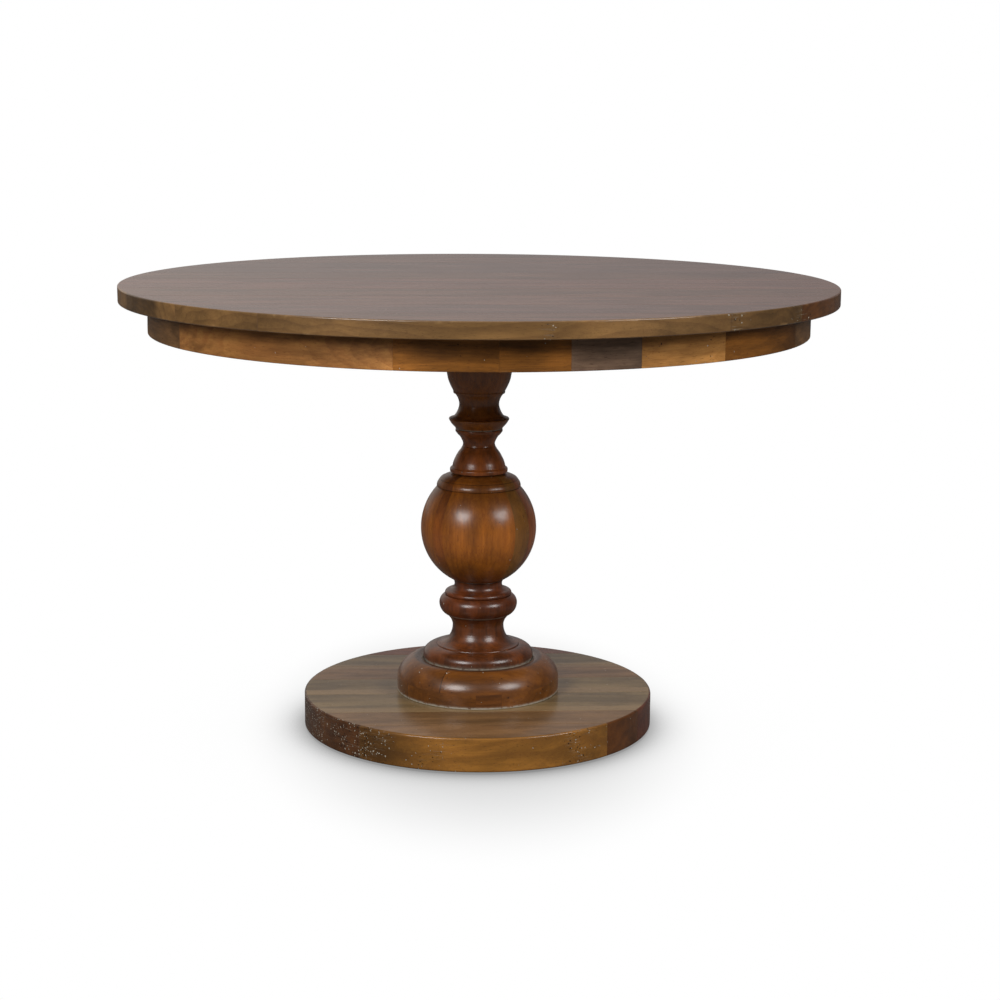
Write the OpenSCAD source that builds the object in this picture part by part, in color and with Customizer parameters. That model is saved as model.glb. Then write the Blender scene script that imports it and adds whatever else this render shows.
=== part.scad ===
// Round pedestal table: a boarded top on a segmented apron, a stacked turned column and a boarded base.
// Millimetres, +Z up. The origin is on the floor under the middle of the table, the boards run along X
// and the front is at -Y. A steel rod clamps the column between the base and a plate under the top.

/* [Overall] */
// Diameter of the round top
top_d = 1200; // [960:10:1500]
// Height from the floor to the face of the top
table_h = 765; // [630:0.5:930]
// Diameter of the round base
base_d = 600; // [490:10:760]

/* [Top] */
// Thickness of the top boards
top_t = 27; // [22:0.5:40]
// Rounding of the top's rim
top_round = 2; // [0.5:0.5:6]

/* [Apron] */
// How far the apron stands in from the rim of the top
apron_inset = 47.5; // [20:0.5:90]
// Height of the apron below the top boards
apron_h = 52; // [40:0.5:90]
// Thickness of the apron's segments
apron_t = 28; // [22:0.5:40]
// Rounding of the apron's lower edges
apron_round = 1.5; // [0.5:0.5:5]
// How far the blocks behind the apron's joints stop above its lower edge
block_rise = 12; // [4:1:20]
// Width of a block along the apron
block_w = 60; // [48:1:80]
// Depth of a block towards the middle of the table
block_t = 26; // [20:1:40]

/* [Battens] */
// Distance of each batten's centre line from the middle
batten_x = 270; // [220:5:360]
// Width of a batten
batten_w = 60; // [40:1:80]
// Thickness of a batten
batten_t = 30; // [24:0.5:40]
// Slope cut off the ends of a batten
batten_slope = 18; // [5:1:22]
// Space between a batten's end and the apron's blocks
batten_gap = 8; // [2:1:30]

/* [Column fixing] */
// Width of the square cleat under the top boards
cleat_w = 300; // [250:5:360]
// Thickness of the cleat
cleat_t = 25; // [20.5:0.5:40]
// Diameter of the hole in the cleat that clears the rod's nut
cleat_hole_d = 52; // [48:1:60]
// Width of the square steel plate on the column
plate_w = 220; // [180:1:240]
// Thickness of the steel plate
plate_t = 6; // [5:0.2:10]
// Distance of a plate bolt's centre from the plate's edges
bolt_inset = 15; // [12:1:20]
// Diameter of the rod through the column
rod_d = 12; // [10:0.1:16]
// Depth of the well under the base for the rod's lower nut
well_h = 25; // [23:1:35]
// Diameter of that well
well_d = 60; // [56:1:80]

/* [Turned column] */
// Diameter of the plinth, the broad bottom piece
plinth_d = 278.6; // [232:0.2:336]
// Diameter of the foot's roll
foot_d = 190; // [160:1:230]
// Diameter of the collar's roll
collar_d = 134; // [112:1:165]
// Diameter of the ball
ball_d = 197.6; // [164:0.1:238]
// Diameter of the bead under the neck
bead_d = 98.4; // [90:0.1:118]
// Diameter of the neck at its waist
waist_d = 54.2; // [48:0.1:66]
// Diameter of the sharp ring under the capital
ring_d = 102.6; // [92:0.1:124]
// Diameter of the capital's bowl
bowl_d = 112; // [108:0.5:134]
// Diameter of the pins that centre one turned piece on the next
pin_d = 32; // [28:0.5:40]
// Length of those pins
pin_h = 20; // [12:1:24]

/* [Base] */
// Thickness of the base boards
base_t = 57; // [45:0.1:70]
// Rounding of the base's rim
base_round = 3; // [0.5:0.5:8]
// Distance of the glides' centres from the base's rim
glide_inset = 32; // [24:1:60]
// Diameter of a glide
glide_d = 30; // [20:1:40]
// Thickness of a glide, which lifts the base off the floor
glide_t = 3; // [2.5:0.1:6]

/* [Hidden] */
$fn = 180;

// Clearances
fit_gap = 0.15;    // round a screw, an insert or a nail in its hole
pin_gap = 0.25;    // round a pin in its socket
rod_gap = 1;       // round the rod in the wooden pieces
glue_gap = 0.2;    // between a block and the apron's curved face
hole_over = 1;     // how far a hole runs past the point of what it holds

// Boards of the top and of the base, front to back, as they share out the diameter
top_board_w = [110, 125, 130, 125, 85, 85, 115, 105, 110, 110, 100];
base_board_w = [80, 75, 110, 95, 85, 80, 75];

// Angle of the apron's first joint from the front, and the angle that each segment spans from there on
apron_start = -59.8;
apron_span = [44, 16, 11, 11.5, 16.5, 22.5, 23, 24, 28, 26, 29, 27, 28, 27, 26.5];

// Heights of the turned pieces from the plinth up; together they stretch to fill the column's height
turned_h = [53, 81, 61, 186, 76, 190];

// Fasteners
screw_d = 5;
screw_head_d = 10;
screw_head_h = 3.2;
screw_rim = 0.5;
top_bite = 18;          // how far screws reach into the top boards
apron_bite = 16;        // how far screws reach into the apron
block_screw_off = 18;   // distance of a block's level screws from its middle
plate_screw_r = 38;
plate_screw_l = 45;
cleat_screw_off = 125;
end_margin = 30;        // least distance of a batten screw from the batten's end
bolt_d = 8;
bolt_head_w = 13;
bolt_head_h = 5.3;
insert_d = 12;
insert_l = 17;
coach_d = 8;            // screws from the base into the plinth
coach_head_d = 13;
coach_head_h = 5.5;
coach_well_d = 18;
coach_well_h = 20;
coach_bite = 32;
coach_r = 90;
coach_count = 6;
nut_w = 1.6 * rod_d;
nut_h = 0.8 * rod_d;
rod_proud = 3;
top_washer_d = 3 * rod_d;
top_washer_t = 3;
well_washer_t = 4;
well_washer_gap = 4;
dowel_d = 12;
dowel_l = 50;
dowel_x = 150;
nail_d = 2.5;
nail_head_d = 8;
nail_head_t = 1;
nail_l = 16;
glide_skin = 1.2;       // nylon under the nail's head
glide_count = 6;

// Levels
base_z = glide_t;
column_z = base_z + base_t;
top_z = table_h - top_t;
cleat_z = top_z - cleat_t;
plate_z = cleat_z - plate_t;
apron_z = top_z - apron_h;
batten_z = top_z - batten_t;
well_z = base_z + well_h;
rod_z = well_z - well_washer_t - nut_h - rod_proud;
rod_top = cleat_z + top_washer_t + nut_h + rod_proud;
stretch = (plate_z - column_z) / total(turned_h, len(turned_h));

// Radii
top_r = top_d / 2;
base_r = base_d / 2;
apron_r = top_r - apron_inset;
apron_in_r = apron_r - apron_t;
bore_r = rod_d / 2 + rod_gap;
block_r = apron_in_r - block_t;
bolt_off = plate_w / 2 - bolt_inset;
batten_half = sqrt(pow(block_r, 2) - pow(batten_x + batten_w / 2, 2)) - batten_gap;

// Places of the screws that go up into the top boards
batten_screws_at = [
    for (side = [-1, 1], i = [0 : len(top_board_w) - 1])
        let (y = board_middle(top_board_w, top_d, i))
            if (abs(y) < batten_half - end_margin) [side * batten_x, y]
];
cleat_screws_at = [
    for (i = [-1 : 1], j = [-1 : 1])
        if (i != 0 || j != 0) [i * cleat_screw_off, j * cleat_screw_off]
];
block_screws_at = [
    for (a = joint_angles()) (block_r + block_t / 2) * outward(a)
];

top_names = numbered("top_board_", top_board_w);
base_names = numbered("base_board_", base_board_w);
apron_names = numbered("apron_segment_", apron_span);

// Woods and metals, in the order that neighbouring pieces take them
top_woods = ["#7d5a41", "#86624a", "#7a5844", "#8a6650"];
apron_woods = ["#a5703f", "#8b5d38", "#7b4a30", "#5b3c2a", "#b08250", "#86603e"];
base_woods = ["#a98059", "#7b4535", "#9a7355", "#8a6049"];
turned_wood = "#8d4f31";
red_wood = "#7a3d29";
pale_wood = "#b08a63";
steel = "#b4b7ba";
zinc = "#c9c5ba";
nylon = "#2b2b2d";

// The first n numbers of v added together
function total(v, n) = n == 0 ? 0 : v[n - 1] + total(v, n - 1);

// Names of the pieces of v, numbered from 1
function numbered(name, v) = [for (i = [1 : len(v)]) str(name, i)];

// The item of a list that a piece takes, starting over at the list's end
function turn_of(list, i) = list[i % len(list)];

// Front edge of board i and its middle, with the boards w sharing out diameter d
function board_front(w, d, i) = d * total(w, i) / total(w, len(w)) - d / 2;
function board_middle(w, d, i) = (board_front(w, d, i) + board_front(w, d, i + 1)) / 2;

// Direction outward at an angle a from the front, and the angles of the apron's joints
function outward(a) = [sin(a), -cos(a)];
function joint_angles() = [for (i = [0 : len(apron_span) - 1]) apron_start + total(apron_span, i)];

// Bottom of turned piece i, counted from the plinth up
function turned_z(i) = column_z + stretch * total(turned_h, i);

// Places round the middle: n of them at radius r, the first at angle a
function ring_places(r, n, a = 0) = [for (i = [0 : n - 1]) r * [cos(a + 360 * i / n), sin(a + 360 * i / n)]];

// Points of an elliptic arc about c with the half axes s, from angle a to angle b
function arc(c, s, a, b, n = 10) = [
    for (i = [0 : n]) let (t = a + (b - a) * i / n) [c.x + s.x * cos(t), c.y + s.y * sin(t)]
];

// Points of a smooth curve through the knots p, with n steps from each to the next
function curve(p, n = 4) = [
    for (i = [0 : len(p) - 2], k = [0 : n]) if (k < n || i == len(p) - 2)
        let (
            t = k / n,
            a = p[max(i - 1, 0)], b = p[i], c = p[i + 1], d = p[min(i + 2, len(p) - 1)]
        )
            b + 0.5 * t * ((c - a) + t * (2 * a - 5 * b + 4 * c - d + t * (3 * (b - c) + d - a)))
];

// Outlines of the turned pieces as [radius, height], from the bottom outwards and up
plinth_outline = let (
    r = plinth_d / 2, flat_r = foot_d / 2 - 1.5, crown_r = flat_r + 12,
    side_h = 26, crown_h = 59, flat_h = 53
) concat(
    [[r - 1, 0], [r, 1.2]],
    [for (k = [0 : 16]) let (a = 90 * k / 16) [
        crown_r + (r - crown_r) * pow(cos(a), 1.18),
        side_h + (crown_h - side_h) * pow(sin(a), 1.18)
    ]],
    arc([crown_r, flat_h], [crown_r - flat_r, crown_h - flat_h], 96, 180, 5)
);

foot_outline = let (r = foot_d / 2, roll = 24, low = 43.9) concat(
    arc([r - roll, 10.5], [roll, 22], -asin(10.5 / 22), 0, 4),
    arc([r - roll, 10.5], [roll, 17], 6, 90, 9),
    arc([r - roll - 1, 61], [r - roll - 1 - low, 32], -90, -180, 10),
    curve([[low + 0.3, 65], [low + 2.9, 72], [low + 6.2, 76.5], [low + 9.6, 81]], 3)
);

collar_outline = let (r = collar_d / 2, roll = 20, bead = r - 9.7, hollow = r - 15) concat(
    arc([r - roll, 20], [roll, 21.5], -asin(20 / 21.5), 0, 8),
    arc([r - roll, 20], [roll, 17.5], 8, 56, 7),
    arc([bead - 6.3, 37.7], [6.3, 4.9], -40, 90, 9),
    arc([hollow, 53.5], [11.2, 11], -107.4, -180 - asin(7.5 / 11), 10)
);

ball_outline = let (r = ball_d / 2, band = r - 27.1) concat(
    arc([0, 91], [r, 101], -asin(91 / 101), 0, 20),
    arc([0, 91], [r, 102.5], 3, 44.2, 14),
    curve([[band, 163.6], [band - 0.1, 166], [band - 1.6, 170.5], [band - 5.4, 176]], 3),
    curve([[band - 8, 178.6], [band - 17, 182.6], [band - 29, 185.4], [band - 33, 186]], 3)
);

neck_outline = let (r = bead_d / 2, w = waist_d / 2, lip = 2.5) concat(
    [[r - 9, 0], [r - 8.6, 1]],
    arc([r - lip, 3.6], [lip, lip], -90, 0, 5),
    arc([r - lip, 6.9], [lip, lip], 0, 65, 4),
    [[r - 2.8, 9.8]],
    curve([[r - 4, 11.6], [r - 6.6, 21], [r - 13.2, 34], [w + 3.1, 42], [w, 50.5], [w + 4.3, 61],
           [w + 9.6, 67], [w + 13, 71.4]], 4),
    [[w + 13.2, 73], [w + 12.6, 76]]
);

capital_outline = let (r = ring_d / 2, low = 33.9, bowl = bowl_d / 2, pommel = bowl - 4) concat(
    [[r - 11.3, 0], [r - 11, 1.6]],
    curve([[r - 10.4, 2.4], [r - 4.3, 9], [r - 0.6, 15], [r, 17], [r - 0.6, 18.2]], 3),
    curve([[r - 6.3, 20.2], [r - 9.8, 22.6], [low + 2.6, 31], [low, 41.5], [low + 2.1, 51.5],
           [low + 7.1, 60]], 4),
    [[low + 9.7, 60.8], [low + 10.2, 62.4], [low + 10.2, 65]],
    curve([[low + 10.8, 66], [bowl - 7, 74.5], [bowl - 3, 85], [bowl - 0.4, 99.5], [bowl, 107]], 4),
    [[bowl, 111.5], [bowl - 2.6, 113], [pommel, 117], [pommel, 190]]
);

// A flat disc with rounded rims, standing on z = 0
module disc(r, t, round_r) {
    rotate_extrude()
        polygon(concat(
            [[0, 0]],
            arc([r - round_r, round_r], [round_r, round_r], -90, 0, 5),
            arc([r - round_r, t - round_r], [round_r, round_r], 0, 90, 5),
            [[0, t]]
        ));
}

// Board i of a disc that the boards w share out along Y
module disc_board(w, d, t, round_r, i) {
    front = board_front(w, d, i);
    intersection() {
        disc(d / 2, t, round_r);
        translate([-d, front, -t])
            cube([2 * d, board_front(w, d, i + 1) - front, 3 * t]);
    }
}

// A countersunk screw with its head's face at z = 0 and its point up
module screw(length) {
    rotate_extrude()
        polygon([
            [0, 0], [screw_head_d / 2, 0], [screw_head_d / 2, screw_rim], [screw_d / 2, screw_head_h],
            [screw_d / 2, length - screw_d], [0, length]
        ]);
}

// The space that such a screw takes, open below its head
module screw_space(length) {
    head_r = screw_head_d / 2 + fit_gap;
    shank_r = screw_d / 2 + fit_gap;
    rotate_extrude()
        polygon([
            [0, -hole_over], [head_r, -hole_over], [head_r, screw_rim], [shank_r, screw_head_h],
            [shank_r, length + hole_over], [0, length + hole_over]
        ]);
}

// Repeats its children at the points p
module at_each(p) {
    for (q = p)
        translate([q.x, q.y, 0]) children();
}

// Spaces of the screws that reach into the top boards between y0 and y1
module top_pilot_holes(y0, y1) {
    for (q = concat(batten_screws_at, cleat_screws_at, block_screws_at))
        if (q.y > y0 - screw_d && q.y < y1 + screw_d)
            translate([q.x, q.y, top_z - hole_over])
                cylinder(d = screw_d + 2 * fit_gap, h = top_bite + 2 * hole_over);
}

module top_board(i) {
    color(turn_of(top_woods, i))
        difference() {
            translate([0, 0, top_z])
                disc_board(top_board_w, top_d, top_t, top_round, i);
            top_pilot_holes(
                board_front(top_board_w, top_d, i),
                board_front(top_board_w, top_d, i + 1)
            );
        }
}

// Moves its children from the X axis to joint angle a of the apron, off mm along it
module at_joint(a, off) {
    rotate([0, 0, a - 90])
        translate([0, off, (apron_z + block_rise + top_z) / 2]) children();
}

// A level screw's place: its head on a block's inner face, its point outward
module level() {
    translate([block_r, 0, 0])
        rotate([0, 90, 0]) children();
}

module apron_segment(i) {
    a = joint_angles()[i];
    color(turn_of(apron_woods, i))
        difference() {
            translate([0, 0, apron_z])
                rotate([0, 0, a - 90])
                    rotate_extrude(angle = apron_span[i])
                        polygon(concat(
                            arc([apron_in_r + apron_round, apron_round], [1, 1] * apron_round, -180, -90, 3),
                            arc([apron_r - apron_round, apron_round], [1, 1] * apron_round, -90, 0, 3),
                            [[apron_r, apron_h], [apron_in_r, apron_h]]
                        ));
            at_joint(a, block_screw_off)
                level() screw_space(block_t + apron_bite);
            at_joint(a + apron_span[i], -block_screw_off)
                level() screw_space(block_t + apron_bite);
        }
}

// One block behind each joint of the apron, with its outer face curved to fit
module apron_blocks() {
    color(pale_wood)
        for (a = joint_angles())
            difference() {
                intersection() {
                    at_joint(a, 0)
                        translate([block_r, -block_w / 2, -(apron_h - block_rise) / 2])
                            cube([2 * block_t, block_w, apron_h - block_rise]);
                    translate([0, 0, apron_z])
                        cylinder(r = apron_in_r - glue_gap, h = apron_h);
                }
                for (side = [-1, 1])
                    at_joint(a, side * block_screw_off)
                        level() screw_space(block_t + apron_bite);
                translate(concat((block_r + block_t / 2) * outward(a), [apron_z + block_rise]))
                    screw_space(apron_h - block_rise + top_bite);
            }
}

module apron_screws() {
    color(zinc) {
        for (a = joint_angles(), side = [-1, 1])
            at_joint(a, side * block_screw_off)
                level() screw(block_t + apron_bite);
        translate([0, 0, apron_z + block_rise])
            at_each(block_screws_at) screw(apron_h - block_rise + top_bite);
    }
}

// A batten across the boards at x, with its ends sloped below
module batten(x) {
    color(pale_wood)
        difference() {
            translate([x + batten_w / 2, 0, batten_z])
                rotate([90, 0, -90])
                    linear_extrude(batten_w)
                        polygon([
                            [-batten_half, batten_t], [-batten_half, batten_slope],
                            [batten_slope - batten_half, 0], [batten_half - batten_slope, 0],
                            [batten_half, batten_slope], [batten_half, batten_t]
                        ]);
            translate([0, 0, batten_z])
                at_each([for (q = batten_screws_at) if (q.x * x > 0) q]) screw_space(batten_t + top_bite);
        }
}

module batten_screws() {
    color(zinc)
        translate([0, 0, batten_z])
            at_each(batten_screws_at) screw(batten_t + top_bite);
}

// The four places where a plate bolt meets its threaded insert
bolts_at = [for (i = [-1, 1], j = [-1, 1]) bolt_off * [i, j]];

module mounting_cleat() {
    color(pale_wood)
        difference() {
            translate([-cleat_w / 2, -cleat_w / 2, cleat_z])
                cube([cleat_w, cleat_w, cleat_t]);
            translate([0, 0, cleat_z - hole_over])
                cylinder(d = cleat_hole_d, h = cleat_t + 2 * hole_over);
            translate([0, 0, cleat_z])
                at_each(cleat_screws_at) screw_space(cleat_t + top_bite);
            translate([0, 0, cleat_z - hole_over])
                at_each(bolts_at) cylinder(d = insert_d + 2 * fit_gap, h = insert_l + 2 * hole_over);
        }
}

module cleat_screws() {
    color(zinc)
        translate([0, 0, cleat_z])
            at_each(cleat_screws_at) screw(cleat_t + top_bite);
}

module mounting_plate() {
    color(steel)
        difference() {
            translate([-plate_w / 2, -plate_w / 2, plate_z])
                cube([plate_w, plate_w, plate_t]);
            translate([0, 0, plate_z - hole_over])
                cylinder(r = bore_r, h = plate_t + 2 * hole_over);
            translate([0, 0, plate_z - hole_over])
                at_each(bolts_at) cylinder(d = bolt_d + 4 * fit_gap, h = plate_t + 2 * hole_over);
            plate_screws_down() screw_space(plate_screw_l);
        }
}

// Places of the screws that hold the plate on the column, heads up in the plate's top face
module plate_screws_down() {
    translate([0, 0, cleat_z])
        at_each(ring_places(plate_screw_r, 4, 45))
            rotate([180, 0, 0]) children();
}

module plate_wood_screws() {
    color(zinc)
        plate_screws_down() screw(plate_screw_l);
}

module plate_bolts() {
    color(steel)
        translate([0, 0, plate_z])
            at_each(bolts_at) {
                translate([0, 0, -bolt_head_h])
                    cylinder(d = bolt_head_w / cos(30), h = bolt_head_h, $fn = 6);
                cylinder(d = bolt_d, h = plate_t + insert_l);
            }
}

module threaded_inserts() {
    color(zinc)
        translate([0, 0, cleat_z])
            at_each(bolts_at)
                difference() {
                    cylinder(d = insert_d, h = insert_l);
                    translate([0, 0, -hole_over])
                        cylinder(d = bolt_d + 2 * fit_gap, h = insert_l + 2 * hole_over);
                }
}

module tie_rod() {
    color(steel)
        translate([0, 0, rod_z])
            cylinder(d = rod_d, h = rod_top - rod_z);
}

// A washer or a six-sided nut on the rod, with its lower face at z
module rod_ring(z, d, t, sides) {
    color(steel)
        translate([0, 0, z])
            difference() {
                cylinder(d = d, h = t, $fn = sides);
                translate([0, 0, -hole_over])
                    cylinder(d = rod_d + 2 * fit_gap, h = t + 2 * hole_over);
            }
}

module rod_top_washer() {
    rod_ring(cleat_z, top_washer_d, top_washer_t, $fn);
}

module rod_top_nut() {
    rod_ring(cleat_z + top_washer_t, nut_w / cos(30), nut_h, 6);
}

module rod_base_washer() {
    rod_ring(well_z - well_washer_t, well_d - 2 * well_washer_gap, well_washer_t, $fn);
}

module rod_base_nut() {
    rod_ring(well_z - well_washer_t - nut_h, nut_w / cos(30), nut_h, 6);
}

// Turned piece i on the rod's bore, with a socket for the pin below it and a pin for the piece above it
module turned(i, outline, socket = true, pin = true) {
    height = stretch * turned_h[i];
    pin_r = pin_d / 2;
    below = socket ? [[bore_r, pin_h + hole_over], [pin_r + pin_gap, pin_h + hole_over], [pin_r + pin_gap, 0]]
                   : [[bore_r, 0]];
    above = pin ? [[pin_r, height], [pin_r, height + pin_h], [bore_r, height + pin_h]]
                : [[bore_r, height]];
    translate([0, 0, turned_z(i)])
        rotate_extrude()
            polygon(concat(below, [for (q = outline) [q.x, q.y * stretch]], above));
}

module column_plinth() {
    color(turned_wood)
        difference() {
            turned(0, plinth_outline, socket = false);
            coach_screws_up() coach_space();
        }
}

module column_foot() {
    color(red_wood)
        turned(1, foot_outline);
}

module column_collar() {
    color(red_wood)
        turned(2, collar_outline);
}

module column_ball() {
    color(turned_wood)
        turned(3, ball_outline);
}

module column_neck() {
    color(red_wood)
        turned(4, neck_outline);
}

module column_capital() {
    color(turned_wood)
        difference() {
            turned(5, capital_outline, pin = false);
            plate_screws_down() screw_space(plate_screw_l);
        }
}

// Places of the hexagon-headed screws that go up through the base into the plinth
module coach_screws_up() {
    translate([0, 0, base_z + coach_well_h])
        at_each(ring_places(coach_r, coach_count)) children();
}

coach_l = base_t - coach_well_h + coach_bite;

module coach_space() {
    translate([0, 0, -hole_over])
        cylinder(d = coach_d + 2 * fit_gap, h = coach_l + 2 * hole_over);
}

module plinth_screws() {
    color(zinc)
        coach_screws_up() {
            translate([0, 0, -coach_head_h])
                cylinder(d = coach_head_d / cos(30), h = coach_head_h, $fn = 6);
            cylinder(d = coach_d, h = coach_l - coach_d);
            translate([0, 0, coach_l - coach_d])
                cylinder(d1 = coach_d, d2 = 1, h = coach_d);
        }
}

// Dowels across the joints of the base boards, two to a joint, widened and lengthened into their holes by grow
module dowels(grow = 0) {
    for (i = [1 : len(base_board_w) - 1], side = [-1, 1])
        translate([side * dowel_x, board_front(base_board_w, base_d, i), base_z + base_t / 2])
            rotate([90, 0, 0])
                cylinder(d = dowel_d + 2 * grow, h = dowel_l + 10 * grow, center = true);
}

module base_dowels() {
    color(pale_wood)
        dowels();
}

module base_board(i) {
    color(turn_of(base_woods, i))
        difference() {
            translate([0, 0, base_z])
                disc_board(base_board_w, base_d, base_t, base_round, i);
            translate([0, 0, base_z - hole_over]) {
                cylinder(r = bore_r, h = base_t + 2 * hole_over);
                cylinder(d = well_d, h = well_h + hole_over);
                at_each(ring_places(coach_r, coach_count))
                    cylinder(d = coach_well_d, h = coach_well_h + hole_over);
            }
            coach_screws_up() coach_space();
            dowels(fit_gap);
            at_each(glides_at)
                cylinder(d = nail_d + 2 * fit_gap, h = base_z + nail_l + hole_over);
        }
}

glides_at = ring_places(base_r - glide_inset, glide_count, 30);

// Nylon glides, each moulded round the head of its nail
module glides() {
    chamfer = 0.8;
    nail_r = nail_d / 2 + fit_gap;
    head_r = nail_head_d / 2 + fit_gap;
    head_top = glide_skin + nail_head_t + fit_gap;
    color(nylon)
        at_each(glides_at)
            rotate_extrude()
                polygon([
                    [0, 0], [glide_d / 2 - chamfer, 0], [glide_d / 2, chamfer], [glide_d / 2, glide_t],
                    [nail_r, glide_t], [nail_r, head_top], [head_r, head_top], [head_r, glide_skin],
                    [0, glide_skin]
                ]);
}

module glide_nails() {
    color(steel)
        translate([0, 0, glide_skin])
            at_each(glides_at)
                rotate_extrude()
                    polygon([
                        [0, 0], [nail_head_d / 2, 0], [nail_head_d / 2, nail_head_t], [nail_d / 2, nail_head_t],
                        [nail_d / 2, glide_t + nail_l - nail_d - glide_skin],
                        [0, glide_t + nail_l - glide_skin]
                    ]);
}

for (i = [0 : len(top_names) - 1]) top_board(i);
for (i = [0 : len(apron_names) - 1]) apron_segment(i);
for (i = [0 : len(base_names) - 1]) base_board(i);
apron_blocks();
apron_screws();
batten(-batten_x);  // batten_left
batten(batten_x);  // batten_right
batten_screws();
mounting_cleat();
cleat_screws();
mounting_plate();
plate_bolts();
threaded_inserts();
plate_wood_screws();
tie_rod();
rod_top_washer();
rod_top_nut();
rod_base_washer();
rod_base_nut();
column_capital();
column_neck();
column_ball();
column_collar();
column_foot();
column_plinth();
plinth_screws();
base_dowels();
glides();
glide_nails();
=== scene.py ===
"""Round pedestal table: its finished pieces and the studio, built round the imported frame.

The sizes come from the frame. Boards and apron segments are built anew as eased, slightly worn solids,
and the turned pieces as fine lathe work from the frame's own outlines. The figure of the wood is cut
from a solid texture, so a board's face, edge and end agree.
"""

from __future__ import annotations

import logging
import math
import random
from collections import Counter, defaultdict
from dataclasses import dataclass, field
from enum import Enum, IntEnum
from typing import Callable, Sequence

import bmesh
import bpy
import numpy as np
from mathutils import Matrix, Vector


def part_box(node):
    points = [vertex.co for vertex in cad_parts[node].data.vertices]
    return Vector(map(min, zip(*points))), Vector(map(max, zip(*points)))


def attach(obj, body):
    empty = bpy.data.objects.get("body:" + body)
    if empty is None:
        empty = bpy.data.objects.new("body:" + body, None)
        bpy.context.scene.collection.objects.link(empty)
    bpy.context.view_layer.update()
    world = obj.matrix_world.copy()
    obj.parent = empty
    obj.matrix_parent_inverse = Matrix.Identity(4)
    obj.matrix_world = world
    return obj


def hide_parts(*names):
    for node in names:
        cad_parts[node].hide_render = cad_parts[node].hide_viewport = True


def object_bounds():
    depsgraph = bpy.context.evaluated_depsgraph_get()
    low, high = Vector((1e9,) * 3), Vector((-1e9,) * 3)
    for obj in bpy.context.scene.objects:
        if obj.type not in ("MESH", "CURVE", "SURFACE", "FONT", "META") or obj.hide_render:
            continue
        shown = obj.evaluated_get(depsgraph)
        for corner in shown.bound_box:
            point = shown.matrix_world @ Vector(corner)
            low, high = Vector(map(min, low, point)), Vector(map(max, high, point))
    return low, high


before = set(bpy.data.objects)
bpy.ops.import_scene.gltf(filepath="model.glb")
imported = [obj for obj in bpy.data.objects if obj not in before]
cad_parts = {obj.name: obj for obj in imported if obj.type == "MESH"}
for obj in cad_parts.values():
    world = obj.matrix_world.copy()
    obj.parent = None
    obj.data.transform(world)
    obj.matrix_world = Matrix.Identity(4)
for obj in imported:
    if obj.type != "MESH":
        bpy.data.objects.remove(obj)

CAD_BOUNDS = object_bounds()
MM = 0.001
BODY = "root"
BORE_REACH = 25 * MM  # no outside face of a turned piece is as near to the axis as this

Point = tuple[float, float]
Colour = tuple[float, float, float, float]
Source = bpy.types.NodeSocket | float | Sequence[float]

log = logging.getLogger("pedestal_table")


# ------------------------------------------------------------------ tones and finishes


def linear(code: str) -> Colour:
    """Turn a colour code into linear light.

    Args:
        code: Six hexadecimal digits after a hash sign.

    Returns:
        Red, green, blue and full opacity.
    """
    channels = [int(code[i:i + 2], 16) / 255 for i in (1, 3, 5)]
    red, green, blue = [c / 12.92 if c < 0.04045 else ((c + 0.055) / 1.055) ** 2.4 for c in channels]
    return (red, green, blue, 1.0)


@dataclass(frozen=True)
class Tone:
    """The two colours of one piece of wood.

    Attributes:
        light: The colour between its growth rings.
        dark: The colour in them.
    """

    light: str
    dark: str


class Stock(Enum):
    """The woods that the pieces are cut from."""

    MAUVE_BROWN = Tone("#634534", "#503629")
    PINK_BROWN = Tone("#6a483a", "#56392d")
    GREY_BROWN = Tone("#61463a", "#4d362d")
    WARM_BROWN = Tone("#68493a", "#52382b")
    OLIVE_GOLD = Tone("#71532f", "#51381f")
    PLUM_BROWN = Tone("#463528", "#31231b")
    RUST = Tone("#6f431a", "#4d2a10")
    AMBER = Tone("#916334", "#714623")
    HONEY = Tone("#ab783f", "#835628")
    SADDLE = Tone("#865420", "#5c3814")
    UMBER = Tone("#6b3e18", "#4b290d")
    ASH_BROWN = Tone("#785f4c", "#574334")
    MOSS_BROWN = Tone("#7d5a37", "#543a21")
    GOLD = Tone("#966528", "#73491d")
    BARK = Tone("#84522a", "#553017")
    AUBURN = Tone("#7a5a38", "#5a432a")
    CHESTNUT = Tone("#5e2f0e", "#381a07")
    CLAY_RED = Tone("#6b3a23", "#4c2415")
    TAUPE = Tone("#74603f", "#5d4a33")
    SAPWOOD = Tone("#8d7250", "#6f5638")
    BEIGE = Tone("#7b5b3a", "#5d4128")
    ORANGE_BROWN = Tone("#8c5015", "#653209")
    RUSSET = Tone("#774012", "#52260a")
    RED_BROWN = Tone("#884819", "#5d2d0e")
    DEEP_RED = Tone("#5c2b0d", "#3b1a07")
    STRAW = Tone("#80541f", "#603a16")
    PLINTH_BROWN = Tone("#6c3f14", "#4c280b")
    PALE = Tone("#b08a5c", "#94703f")


class Mark(Enum):
    """The colours of marks in a lacquer, of what settles on it, and of the painted shade in creases."""

    SEAM = "#1c0f09"
    PORE = "#21120a"
    SPECK = "#1a120c"
    PIT = "#1d130d"
    SCRATCH = "#b3a691"
    CHIP = "#b9b0a0"
    # painted shade, laid in the creases and grooves of the turned pieces
    CREASE = "#120a06"
    DUST = "#aaa496"


class Attribute(Enum):
    """Layers that the meshes carry for their finishes."""

    GRAIN = "grain_place"
    LIGHT = "light_tone"
    DARK = "dark_tone"
    ARRIS = "arris"
    WEAR = "wear"
    JOINT = "joint_line"
    DUST = "dust"
    # painted shade in creases, grooves and at the ends of turned pieces
    CREASE = "crease"
    SAP = "sapwood"


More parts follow.
